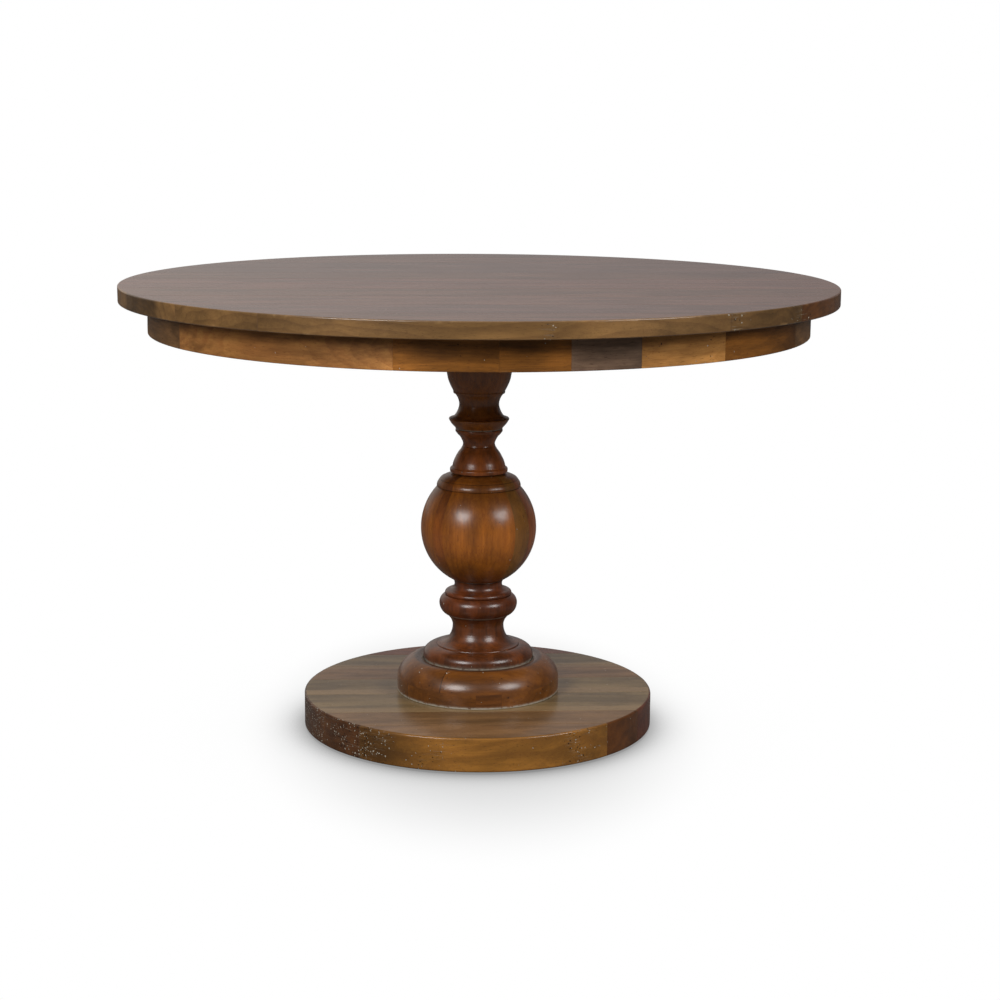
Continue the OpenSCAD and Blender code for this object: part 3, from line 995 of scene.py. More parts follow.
@dataclass
class RoundPanel:
    """A round panel of boards side by side, such as the top or the base.

    Attributes:
        prefix: First part of the nodes' names.
        cuts: The boards from front to back.
        finish: The material.
        slot: The record's material slot.
        easing: How the edges are eased.
        column: Length of a face along the rim.
        dents: How many knocks the rim has.
        seed: Start of the random choices.
        ring_depth: Distance of the boards' hearts below the face.
        wear: Wear of the rim at an angle from the front, in degrees.
        shade: Share of its brightness that the rim keeps at an angle from the front, in degrees: painted
            shade towards the sides, mixed with stains.
        corner_ease: How far a board's upright corners at the joints are taken in.
        corner_width: Width of those eased corners along the rim.
        radius: Radius of the panel.
    """

    prefix: str
    cuts: Sequence[BoardCut]
    finish: bpy.types.Material
    slot: str
    easing: Easing
    column: float
    dents: int
    seed: int
    ring_depth: float
    wear: Callable[[np.ndarray], np.ndarray]
    shade: Callable[[np.ndarray], np.ndarray]
    corner_ease: float = 0.25 * MM
    corner_width: float = 0.5 * MM
    radius: float = field(init=False)

    def __post_init__(self) -> None:
        """Take the panel's radius from the frame."""
        boxes = [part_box(f"{self.prefix}{i + 1}") for i in range(len(self.cuts))]
        self.radius = max(high[0] for _, high in boxes)

    def at_rim(self, y: float) -> bool:
        """Tell whether a board's edge at a Y is the rim, and not a joint."""
        return abs(y) > self.radius - 1 * MM

    def outline(self, front: float, back: float, rim: float, joint: float, count: int) -> np.ndarray:
        """Lay out a board's outline at given insets.

        Args:
            front: Y of the front joint, or of the rim for the first board.
            back: Y of the back joint, or of the rim for the last board.
            rim: Inset at the rim.
            joint: Inset at the joints.
            count: Faces along each end.

        Returns:
            The points, counter-clockwise from the front right corner.
        """
        r = self.radius - rim
        ends = []
        for y, sign in ((front, 1), (back, -1)):
            square = math.asin((y + sign * joint) / r) if not self.at_rim(y) else 0.0
            ends.append(math.copysign(math.pi / 2, y) if self.at_rim(y) else square)
        angles = np.linspace(ends[0], ends[1], count + 1)
        eased = self.corner_width / r
        right_r = np.full(count + 1, r)
        for k, neighbour, y, way in ((0, 1, front, 1), (count, count - 1, back, -1)):
            if not self.at_rim(y):
                right_r[k] -= self.corner_ease
                angles[neighbour] = angles[k] + way * eased
        right = np.column_stack([right_r * np.cos(angles), right_r * np.sin(angles)])
        left = right[::-1] * (-1, 1)
        if self.at_rim(back):
            left = left[1:]
        if self.at_rim(front):
            left = left[:-1]
        return np.concatenate([right, left])

    def board(self, number: int) -> bpy.types.Object:
        """Build one board and dress it.

        Args:
            number: Its place from the front, from 0.

        Returns:
            The board.
        """
        node = f"{self.prefix}{number + 1}"
        (_, front, low), (_, back, high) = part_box(node)
        front = -self.radius if number == 0 else front
        back = self.radius if number == len(self.cuts) - 1 else back
        span = math.asin(min(1.0, back / self.radius)) - math.asin(max(-1.0, front / self.radius))
        count = max(8, round(span * self.radius / self.column))
        courses = self.easing.courses(low, high)
        outlines = [self.outline(front, back, rim, joint, count) for rim, joint, _, _ in courses]
        steps = np.roll(outlines[0], -1, axis=0) - outlines[0]
        longest = 2.2 * span * self.radius / count  # a longer edge of the outline is a joint
        rim_edges = np.hypot(steps[:, 0], steps[:, 1]) < longest
        rng = random.Random(self.seed + number)
        draft = stack_outlines(outlines, [c[2] for c in courses], [c[3] for c in courses], rim_edges)
        press_dents(draft.verts, self.radius, scatter_dents(rng, self.dents, low, high))
        heart = np.array([0.0, (front + back) / 2, low - self.ring_depth])
        heart += cut_from_log(rng, (-9, 9), (-0.05, 0.05), (0.0, 0.08)) * (1, 1, -1)
        tilt = rng.uniform(-0.05, 0.05)
        cut = self.cuts[number]
        piece = draft.build(node.replace("board", "plank"), lambda places, sides, middles: {
            **self.layers(places, sides, middles, cut, heart, tilt),
            Attribute.SAP: np.where(sides == Side.RIM, 0.0, self.sapwood(places, cut.sap, front, back)),
        })
        flatten(piece)
        settle(piece, self.finish, self.slot, node)
        return piece

    def layers(self, places: np.ndarray, sides: np.ndarray, middles: np.ndarray, cut: BoardCut,
               heart: np.ndarray, tilt: float) -> Layers:
        """Give a board's layers at its face corners.

        Args:
            places: Corner places.
            sides: Side of each corner's face.
            middles: Middle of each corner's face.
            cut: The board's woods.
            heart: The heart of the log that the board came from.
            tilt: Slope of the heart along the board.

        Returns:
            The layers.
        """
        grain = places - heart
        grain[:, 2] += tilt * places[:, 0]
        on_rim = (sides == Side.RIM)[:, None]
        far = (middles[:, 0] > 0)[:, None]
        right = cut.far_rim or cut.rim
        light = np.where(on_rim, np.where(far, linear(right.value.light), linear(cut.rim.value.light)),
                         linear(cut.face.value.light))
        dark = np.where(on_rim, np.where(far, linear(right.value.dark), linear(cut.rim.value.dark)),
                        linear(cut.face.value.dark))
        from_front = front_angle(places)
        wear = np.where(sides == Side.RIM, self.wear(from_front), LIGHT_WEAR)
        # painted shade on the rim, darker towards the sides, mixed with stains at some angles
        keep = np.where(sides == Side.RIM, self.shade(from_front), 1.0)[:, None]
        light, dark = light * keep, dark * keep
        return {
            Attribute.GRAIN: grain,
            Attribute.LIGHT: light,
            Attribute.DARK: dark,
            Attribute.WEAR: wear,
        }

    @staticmethod
    def sapwood(places: np.ndarray, share: float, front: float, back: float) -> np.ndarray:
        """Grade a board across its width: above 1 in the sapwood, and falling away from it.

        Args:
            places: Corner places.
            share: Share of the board's width that is sapwood, negative for the back edge.
            front: Y of the board's front edge.
            back: Y of its back edge.

        Returns:
            The grade at each corner, linear across the board.
        """
        across = (places[:, 1] - front) / (back - front)
        if share == 0:
            return np.zeros(len(places))
        return 1 + (abs(share) - (across if share > 0 else 1 - across)) * 4

    def build(self) -> list[bpy.types.Object]:
        """Build every board, front to back."""
        return [self.board(i) for i in range(len(self.cuts))]


@dataclass
class SegmentedApron:
    """The ring of segments under the top.

    Attributes:
        stocks: The wood of each segment, from the first joint on.
        finish: The material.
        slot: The record's material slot.
        easing: How the edges are eased.
        shade: Share of its brightness that the ring keeps at an angle from the front, in degrees: painted
            shade towards the right, mixed with stains.
        column: Length of a face along the ring.
        dents: How many knocks a segment has.
        seed: Start of the random choices.
        inner: Inner radius of the ring.
        outer: Outer radius of the ring.
    """

    stocks: Sequence[Stock]
    finish: bpy.types.Material
    slot: str
    easing: Easing
    shade: Callable[[np.ndarray], np.ndarray]
    column: float = 4 * MM
    dents: int = 5
    seed: int = 300
    inner: float = field(init=False)
    outer: float = field(init=False)

    def __post_init__(self) -> None:
        """Take the ring's radii from the frame."""
        reach = np.concatenate([np.hypot(*node_places(f"apron_segment_{i + 1}")[:, :2].T)
                                for i in range(len(self.stocks))])
        self.inner, self.outer = float(reach.min()), float(reach.max())

    def span(self, node: str) -> tuple[float, float]:
        """Find the angles between which a segment runs.

        Args:
            node: The frame's node.

        Returns:
            Its start and its end, in radians.
        """
        places = node_places(node)
        angles = np.sort(np.arctan2(places[:, 1], places[:, 0]))
        gaps = np.diff(np.append(angles, angles[0] + 2 * math.pi))
        widest = int(np.argmax(gaps))
        start = float(angles[(widest + 1) % len(angles)])
        return start, start + 2 * math.pi - float(gaps[widest])

    def outline(self, start: float, end: float, rim: float, joint: float, count: int) -> np.ndarray:
        """Lay out a segment's outline at given insets.

        Args:
            start: Angle of its first joint, in radians.
            end: Angle of its second joint.
            rim: Inset at the inner and the outer face.
            joint: Inset at the joints.
            count: Faces along each of the two.

        Returns:
            The points, counter-clockwise from its outer start.
        """
        outer, inner = self.outer - rim, self.inner + rim
        out_angles = np.linspace(start + joint / outer, end - joint / outer, count + 1)
        in_angles = np.linspace(end - joint / inner, start + joint / inner, count + 1)
        outer_part = np.column_stack([outer * np.cos(out_angles), outer * np.sin(out_angles)])
        inner_part = np.column_stack([inner * np.cos(in_angles), inner * np.sin(in_angles)])
        return np.concatenate([outer_part, inner_part])

    def segment(self, number: int) -> bpy.types.Object:
        """Build one segment and dress it.

        Args:
            number: Its place from the first joint, from 0.

        Returns:
            The segment.
        """
        node = f"apron_segment_{number + 1}"
        low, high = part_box(node)
        start, end = self.span(node)
        count = max(6, round((end - start) * self.outer / self.column))
        courses = self.easing.courses(low[2], high[2])
        outlines = [self.outline(start, end, rim, joint, count) for rim, joint, _, _ in courses]
        rim_edges = np.ones(2 * count + 2, dtype=bool)
        rim_edges[[count, 2 * count + 1]] = False
        draft = stack_outlines(outlines, [c[2] for c in courses], [c[3] for c in courses], rim_edges)
        rng = random.Random(self.seed + number)
        press_dents(draft.verts, self.outer, scatter_dents(rng, self.dents, low[2], high[2]))
        middle = (start + end) / 2
        along = np.array([-math.sin(middle), math.cos(middle), 0.0])
        outward = np.array([math.cos(middle), math.sin(middle), 0.0])
        shift = cut_from_log(rng, (-9, 9), (0.03, 0.09), (-0.04, 0.04))
        centre = outward * self.outer + np.array([0.0, 0.0, (low[2] + high[2]) / 2])
        stock = self.stocks[number]
        tone = stock.value
        wear = 3 * LIGHT_WEAR if stock is Stock.HONEY else LIGHT_WEAR

        def layers(places: np.ndarray, sides: np.ndarray, middles: np.ndarray) -> Layers:
            """Give the segment's layers at its face corners.

            Args:
                places: Corner places.
                sides: Side of each corner's face.
                middles: Middle of each corner's face.

            Returns:
                The layers.
            """
            away = places - centre
            # painted shade towards the right of the ring, mixed with lighter and darker stains near the
            # front
            keep = self.shade(front_angle(middles))[:, None]
            grain = np.column_stack([away @ along, away @ outward, away[:, 2]]) + shift
            return {
                Attribute.GRAIN: grain,
                Attribute.LIGHT: np.array(linear(tone.light)) * keep,
                Attribute.DARK: np.array(linear(tone.dark)) * keep,
                Attribute.WEAR: np.where(sides == Side.RIM, wear, LIGHT_WEAR),
            }

        piece = draft.build(node.replace("segment", "stave"), layers)
        flatten(piece)
        settle(piece, self.finish, self.slot, node)
        return piece

    def build(self) -> list[bpy.types.Object]:
        """Build every segment in turn."""
        return [self.segment(i) for i in range(len(self.stocks))]


def merged(values: np.ndarray, gap: float = 0.03 * MM) -> np.ndarray:
    """Give values that lie close to each other the same value.

    Args:
        values: The values.
        gap: How far apart two neighbouring values may be.

    Returns:
        The values, each the mean of its group.
    """
    order = np.argsort(values)
    groups = np.concatenate([[0], np.cumsum(np.diff(values[order]) > gap)])
    means = np.bincount(groups, values[order]) / np.bincount(groups)
    out = np.empty_like(values)
    out[order] = means[groups]
    return out


def traced_outline(node: str) -> list[Point]:
    """Follow the closed outline of a turned node from its mesh.

    Args:
        node: The node, a body of revolution about Z that may have small holes parallel to Z.

    Returns:
        Radius and height of the outline's corners in order, from the bottom of the bore outwards.
    """
    places = node_places(node)
    keys = list(zip(merged(np.hypot(places[:, 0], places[:, 1])).tolist(), merged(places[:, 2]).tolist()))
    fewest = 24  # a small hole has fewer corners at one radius and height than a turned edge has
    rings = {key for key, n in Counter(keys).items() if n >= fewest}
    links: dict[Point, set[Point]] = defaultdict(set)
    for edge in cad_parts[node].data.edges:
        a, b = (keys[v] for v in edge.vertices)
        if a != b and a in rings and b in rings:
            links[a].add(b)
            links[b].add(a)
    bottom = min(z for _, z in rings)
    start = min(key for key in rings if key[1] == bottom)
    outer = max(key for key in rings if key[1] == bottom)
    path, seen = [start], {start}
    step: Point | None = outer
    while step is not None:
        path.append(step)
        seen.add(step)
        ahead = [k for k in links[step] if k not in seen]
        step = min(ahead, key=lambda k: math.dist(k, path[-1])) if ahead else None
    return path


@dataclass(frozen=True)
class OutlinePoint:
    """A point of a turned outline.

    Attributes:
        radius: Its distance from the axis, in metres.
        height: Its height.
        arris: How near it is to an arris, from 0 to 1.
        crease: How near it is to a crease, from 0 to 1, which sets the painted shade there.
    """

    radius: float
    height: float
    arris: float = 0.0
    crease: float = 0.0


def outline_turns(points: Sequence[Vector]) -> list[float]:
    """Measure how far a closed outline turns at each of its points.

    Args:
        points: The points, anticlockwise.

    Returns:
        The turns in degrees, positive at an arris and negative in a crease.
    """
    turns = []
    for i, point in enumerate(points):
        way_in = (point - points[i - 1]).normalized()
        way_out = (points[(i + 1) % len(points)] - point).normalized()
        cross = way_in.x * way_out.y - way_in.y * way_out.x
        turns.append(math.degrees(math.asin(max(-1.0, min(1.0, cross)))))
    return turns


def groove_bottom(before: Vector, crease: Vector, after: Vector, depth: float) -> Vector:
    """Find the bottom of the groove in a crease.

    Args:
        before: The outline's point before the crease.
        crease: The crease.
        after: The point after it.
        depth: Depth of the groove.

    Returns:
        The bottom, straight in from the crease.
    """
    inward = (crease - before).normalized().orthogonal() + (after - crease).normalized().orthogonal()
    return crease + inward.normalized() * depth


def refined(outline: Sequence[Point], spacing: float, corner_degrees: float = 24.0,
            full_sharp: float = 60.0, ease: float = 0.35 * MM,
            groove: float = 0.6 * MM) -> list[OutlinePoint]:
    """Smooth an outline between its corners, ease the arrises, cut the creases in as fine grooves and mark
    them for painted shade.

    Args:
        outline: Corners of the closed outline, anticlockwise.
        spacing: Longest step of a smooth stretch.
        corner_degrees: A point where the outline turns by more is an arris or a crease.
        full_sharp: How many degrees more make a crease's painted shade as dark, and its groove as far in, as
            they get.
        ease: Distance from such a corner at which its easing starts.
        groove: Depth of the groove in the sharpest crease.

    Returns:
        The new outline.
    """
    points = [Vector(p) for p in outline]
    count = len(points)
    turns = outline_turns(points)
    corners = [abs(turn) > corner_degrees for turn in turns]
    sharpness = [min(1.0, (abs(turn) - corner_degrees) / full_sharp) for turn in turns]
    out: list[OutlinePoint] = []
    for i in range(count):
        j = (i + 1) % count
        a, b = points[i], points[j]
        length = (b - a).length
        before = a - (b - a) if corners[i] else points[i - 1]
        after = b + (b - a) if corners[j] else points[(i + 2) % count]
        cut = min(ease, length * 0.3) / length
        start = cut if corners[i] else 0.0
        stop = 1 - cut if corners[j] else 1.0
        if corners[i] and turns[i] < 0:
            bottom = groove_bottom(points[i - 1], a, b, groove * sharpness[i])
            # the groove's bottom carries the crease's painted shade
            out.append(OutlinePoint(bottom.x, bottom.y, 0.0, sharpness[i]))
        steps = max(1, math.ceil(length / spacing))
        stretch = [start + (stop - start) * k / steps for k in range(steps + 1)]
        for t in stretch if corners[j] else stretch[:-1]:
            place = catmull(before, a, b, after, t)
            near = [k for k, end in ((i, start), (j, stop)) if corners[k] and t == end]
            arris = float(any(turns[k] > 0 for k in near))
            # the crease value sets painted shade in the crease
            crease = max((0.8 * sharpness[k] for k in near if turns[k] < 0), default=0.0)
            out.append(OutlinePoint(place.x, place.y, arris, crease))
    return out


def scribed(outline: list[OutlinePoint], heights: Sequence[float], depth: float = 0.8 * MM,
            half_width: float = 0.6 * MM) -> list[OutlinePoint]:
    """Cut fine lines round the outside of a turned outline, with painted shade in them.

    Args:
        outline: The outline.
        heights: Heights of the lines.
        depth: Depth of the lines.
        half_width: Half of the lines' width.

    Returns:
        The outline with the lines in it.
    """
    out: list[OutlinePoint] = []
    for p, q in zip(outline, outline[1:] + outline[:1]):
        out.append(p)
        for z in heights:
            if p.height < z <= q.height and p.radius > BORE_REACH:
                share = (z - p.height) / (q.height - p.height)
                radius = p.radius + (q.radius - p.radius) * share
                half = min(half_width, (q.height - p.height) * 0.35)
                slope = (q.radius - p.radius) / (q.height - p.height)
                # the line carries painted shade, fullest at its bottom
                out.append(OutlinePoint(radius - slope * half, z - half, 0.3, 0.3))
                out.append(OutlinePoint(radius - depth, z, 0.0, 1.0))
                out.append(OutlinePoint(radius + slope * half, z + half, 0.3, 0.3))
    return out


def catmull(before: Vector, a: Vector, b: Vector, after: Vector, t: float) -> Vector:
    """Find a point on a smooth curve between two points, with slopes that suit uneven steps.

    Args:
        before: The point before the curve's start.
        a: The curve's start.
        b: Its end.
        after: The point after its end.
        t: Share of the way from start to end.

    Returns:
        The point.
    """
    length = (b - a).length
    way = (b - a) / length
    slope_a = ((a - before).normalized() * length + way * (a - before).length).normalized() * length
    slope_b = ((after - b).normalized() * length + way * (after - b).length).normalized() * length
    t2, t3 = t * t, t * t * t
    return (a * (2 * t3 - 3 * t2 + 1) + slope_a * (t3 - 2 * t2 + t)
            + b * (3 * t2 - 2 * t3) + slope_b * (t3 - t2))


@dataclass(frozen=True)
class Course:
    """A course of wood blocks glued up round a turned piece.

    Attributes:
        top: Share of the piece's height up to which the course reaches.
        joints: Angles of its joints from the front, in degrees, going up.
        stocks: The wood from each joint to the next.
    """

    top: float
    joints: Sequence[float]
    stocks: Sequence[Stock]


@dataclass
class TurnedPiece:
    """A piece of the column, turned and lacquered.

    Attributes:
        node: The frame's node.
        courses: The courses of blocks that it's glued up from, from the bottom.
        finish: The material.
        slot: The record's material slot.
        upright: Whether the grain runs up the column; otherwise it runs across.
        turns: Faces round the piece.
        spacing: Longest face up the piece.
        seed: Start of the random choices.
        wear: How worn the piece is.
        dust: How much dust has settled in the crease below the piece.
        dust_reach: How far up from that crease the dust reaches.
        carries: The frame's node that stands on this piece with dust round it, or nothing.
        seat_gap: How far outside that node the line of dust lies.
        seat_width: Width over which the line thins out.
        seat_depth: How far below the outer top it may lie.
        shadow_reach: How far the painted shade of the creases at the piece's ends reaches.
        painted_light: How much lighter the wood is painted round the piece's middle, and darker at its ends:
            painted light and shade.
        scribes: Shares of the piece's height at which fine lines are cut round it.
        shoulder: Height of the piece's outer top.
    """

    node: str
    courses: Sequence[Course]
    finish: bpy.types.Material
    slot: str
    upright: bool = True
    turns: int = 180
    spacing: float = 2.4 * MM
    seed: int = 40
    wear: float = 0.03
    dust: float = 0.55
    dust_reach: float = 1.2 * MM
    carries: str = ""
    seat_gap: float = 1.4 * MM
    seat_width: float = 1.6 * MM
    seat_depth: float = 9 * MM
    shadow_reach: float = 1.3 * MM
    painted_light: float = 0.0
    scribes: Sequence[float] = ()
    shoulder: float = field(init=False, default=0.0)

    def build(self) -> bpy.types.Object:
        """Turn the piece on the lathe and dress it.

        Returns:
            The piece.
        """
        low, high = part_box(self.node)
        lines = [low[2] + share * (high[2] - low[2]) for share in self.scribes]
        outline = scribed(refined(traced_outline(self.node), self.spacing), lines)
        rows = np.array([(p.radius, p.height, p.arris, p.crease) for p in outline])
        self.shoulder = float(rows[rows[:, 0] > BORE_REACH, 1].max())
        angles = np.linspace(0, 2 * math.pi, self.turns, endpoint=False)
        x = rows[:, None, 0] * np.cos(angles)
        y = rows[:, None, 0] * np.sin(angles)
        z = np.repeat(rows[:, 1:2], self.turns, axis=1)
        verts = np.stack([x, y, z], axis=-1).reshape(-1, 3)
        faces: list[tuple[int, ...]] = []
        count = len(rows)
        for k in range(count):
            here, above = k * self.turns, ((k + 1) % count) * self.turns
            for i in range(self.turns):
                j = (i + 1) % self.turns
                faces.append((here + i, here + j, above + j, above + i))
        draft = Draft(verts, faces, [int(Side.RIM)] * len(faces), np.repeat(rows[:, 2], self.turns),
                      np.repeat(rows[:, 3], self.turns))
        piece = draft.build(self.node.replace("column", "turned"), self.layers, sharp_degrees=50.0)
        settle(piece, self.finish, self.slot, self.node)
        return piece

    def layers(self, places: np.ndarray, sides: np.ndarray, middles: np.ndarray) -> Layers:
        """Give the piece's layers: each block has its own wood and its own place in the log.

        Args:
            places: Corner places.
            sides: Side of each corner's face, which is the rim on all of them; not used.
            middles: Middle of each corner's face.

        Returns:
            The layers.
        """
        low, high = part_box(self.node)
        share = (middles[:, 2] - low[2]) / (high[2] - low[2])
        middle_turn, corner_turn = front_angle(middles), front_angle(places)
        light = np.zeros((len(places), 4))
        dark = np.zeros((len(places), 4))
        shift = np.zeros((len(places), 3))
        joint = np.zeros(len(places))
        rng = random.Random(self.seed)
        bottom = -1.0
        for course in self.courses:
            here = (share > bottom) & (share <= course.top + (course is self.courses[-1]))
            bottom = course.top
            block = np.searchsorted(np.array(course.joints), middle_turn) - 1
            for k, stock in enumerate(course.stocks):
                mask = here & (block % len(course.stocks) == k)
                light[mask] = linear(stock.value.light)
                dark[mask] = linear(stock.value.dark)
                shift[mask] = cut_from_log(rng, (-5, 5), (-0.12, 0.12), (-0.12, 0.12))
            if len(course.joints) > 1:
                for angle in course.joints:
                    away = np.abs((corner_turn - angle + 180) % 360 - 180)
                    joint[here] = np.maximum(joint[here], np.clip(1 - away[here] * self.turns / 360, 0, 1))
        up, down = places[:, 2] - low[2], self.shoulder - places[:, 2]
        dust = self.dust * np.exp(-((up / self.dust_reach) ** 2))
        if self.carries:
            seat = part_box(self.carries)[1][0] + self.seat_gap
            away = np.abs(np.hypot(places[:, 0], places[:, 1]) - seat)
            dust = np.maximum(dust, (down < self.seat_depth) * np.exp(-away / self.seat_width))
        # painted light: the middle of the piece is lighter and its ends darker
        keep = 1 + self.painted_light * (1.6 * swell(share, 0.44, 0.22) - 0.6)[:, None]
        light, dark = light * keep, dark * keep
        axes = [2, 0, 1] if self.upright else [0, 1, 2]
        return {
            Attribute.GRAIN: places[:, axes] + shift,
            Attribute.LIGHT: light,
            Attribute.DARK: dark,
            Attribute.WEAR: np.full(len(places), self.wear),
            Attribute.JOINT: joint,
            Attribute.DUST: dust,
            # painted shade at both ends of the piece, where it meets its neighbours
            Attribute.CREASE: np.exp(-np.abs(np.minimum(up, down)) / self.shadow_reach),
        }


@dataclass
class BenchPart:
    """A plain wooden part under the top, eased along its long edges.

    Attributes:
        node: The frame's node.
        finish: The material.
        slot: The record's material slot.
        stock: Its wood.
        ease: Width of the eased edges.
        seed: Start of the random choices.
        along_y: Whether the grain runs along Y; otherwise along X.
    """

    node: str
    finish: bpy.types.Material
    slot: str
    stock: Stock = Stock.PALE
    ease: float = 0.9 * MM
    seed: int = 70
    along_y: bool = False

    def eased(self) -> bpy.types.Mesh:
        """Make the part's mesh from the frame's own shape, with its long edges eased.

        Returns:
            The mesh.
        """
        form = bmesh.new()
        form.from_mesh(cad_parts[self.node].data)
        bmesh.ops.remove_doubles(form, verts=form.verts, dist=0.01 * MM)
        bmesh.ops.dissolve_limit(form, angle_limit=math.radians(0.5), verts=form.verts, edges=form.edges)
        long_edges = [
            e for e in form.edges
            if e.calc_length() > 10 * MM and len(e.link_faces) == 2 and e.calc_face_angle(0.0) > 0.6
        ]
        bmesh.ops.bevel(form, geom=long_edges, offset=self.ease, segments=2, profile=0.5,
                        affect="EDGES", clamp_overlap=True)
        mesh = bpy.data.meshes.new(f"{self.node}_wood")
        form.to_mesh(mesh)
        form.free()
        return mesh

    def build(self) -> bpy.types.Object:
        """Build the part and dress it.

        Returns:
            The part.
        """
        mesh = self.eased()
        corner_vert = np.empty(len(mesh.loops), dtype=np.int32)
        mesh.loops.foreach_get("vertex_index", corner_vert)
        corners = mesh_places(mesh)[corner_vert]
        shift = cut_from_log(random.Random(self.seed), (-9, 9), (-0.1, 0.1), (0.05, 0.12))
        tone = self.stock.value
        write_layer(mesh, Attribute.GRAIN, corners[:, [1, 0, 2] if self.along_y else [0, 1, 2]] + shift)
        write_layer(mesh, Attribute.LIGHT, np.tile(linear(tone.light), (len(corners), 1)))
        write_layer(mesh, Attribute.DARK, np.tile(linear(tone.dark), (len(corners), 1)))
        for layer in (Attribute.WEAR, Attribute.JOINT, Attribute.ARRIS, Attribute.DUST, Attribute.CREASE):
            write_layer(mesh, layer, np.zeros(len(corners)))
        piece = stand(mesh.name, mesh, 25.0)
        flatten(piece)
        settle(piece, self.finish, self.slot, self.node)
        return piece


def dress_nodes(nodes: Sequence[str], material: bpy.types.Material) -> None:
    """Give frame nodes whose shape is right a better finish.

    Args:
        nodes: The nodes.
        material: Their finish.
    """
    for node in nodes:
        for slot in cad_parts[node].material_slots:
            slot.material = material
        log.info("%s: dressed as %s", node, material.name)


# ------------------------------------------------------------------ studio


@dataclass(frozen=True)
class Lamp:
    """A soft lamp.

    Attributes:
        name: Name of the lamp.
        azimuth: Its angle from the front, in degrees, positive to the right.
        elevation: Its angle above the level, in degrees.
        distance: How far it hangs from the table, in metres.
        size: Its width.
        power: Its power, in watts.
    """

    name: str
    azimuth: float
    elevation: float
    distance: float
    size: float
    power: float

    def build(self, target: Vector) -> bpy.types.Object:
        """Hang the lamp and aim it.

        Args:
            target: What it's aimed at.

        Returns:
            The lamp.
        """
        data = bpy.data.lights.new(self.name, "AREA")
        data.shape = "DISK"
        data.size = self.size
        data.energy = self.power
        lamp = bpy.data.objects.new(self.name, data)
        turn, lift = math.radians(self.azimuth), math.radians(self.elevation)
        away = Vector((math.sin(turn) * math.cos(lift), -math.cos(turn) * math.cos(lift), math.sin(lift)))
        lamp.location = target + away * self.distance
        lamp.rotation_euler = away.to_track_quat("Z", "Y").to_euler()
        bpy.context.scene.collection.objects.link(lamp)
        return lamp


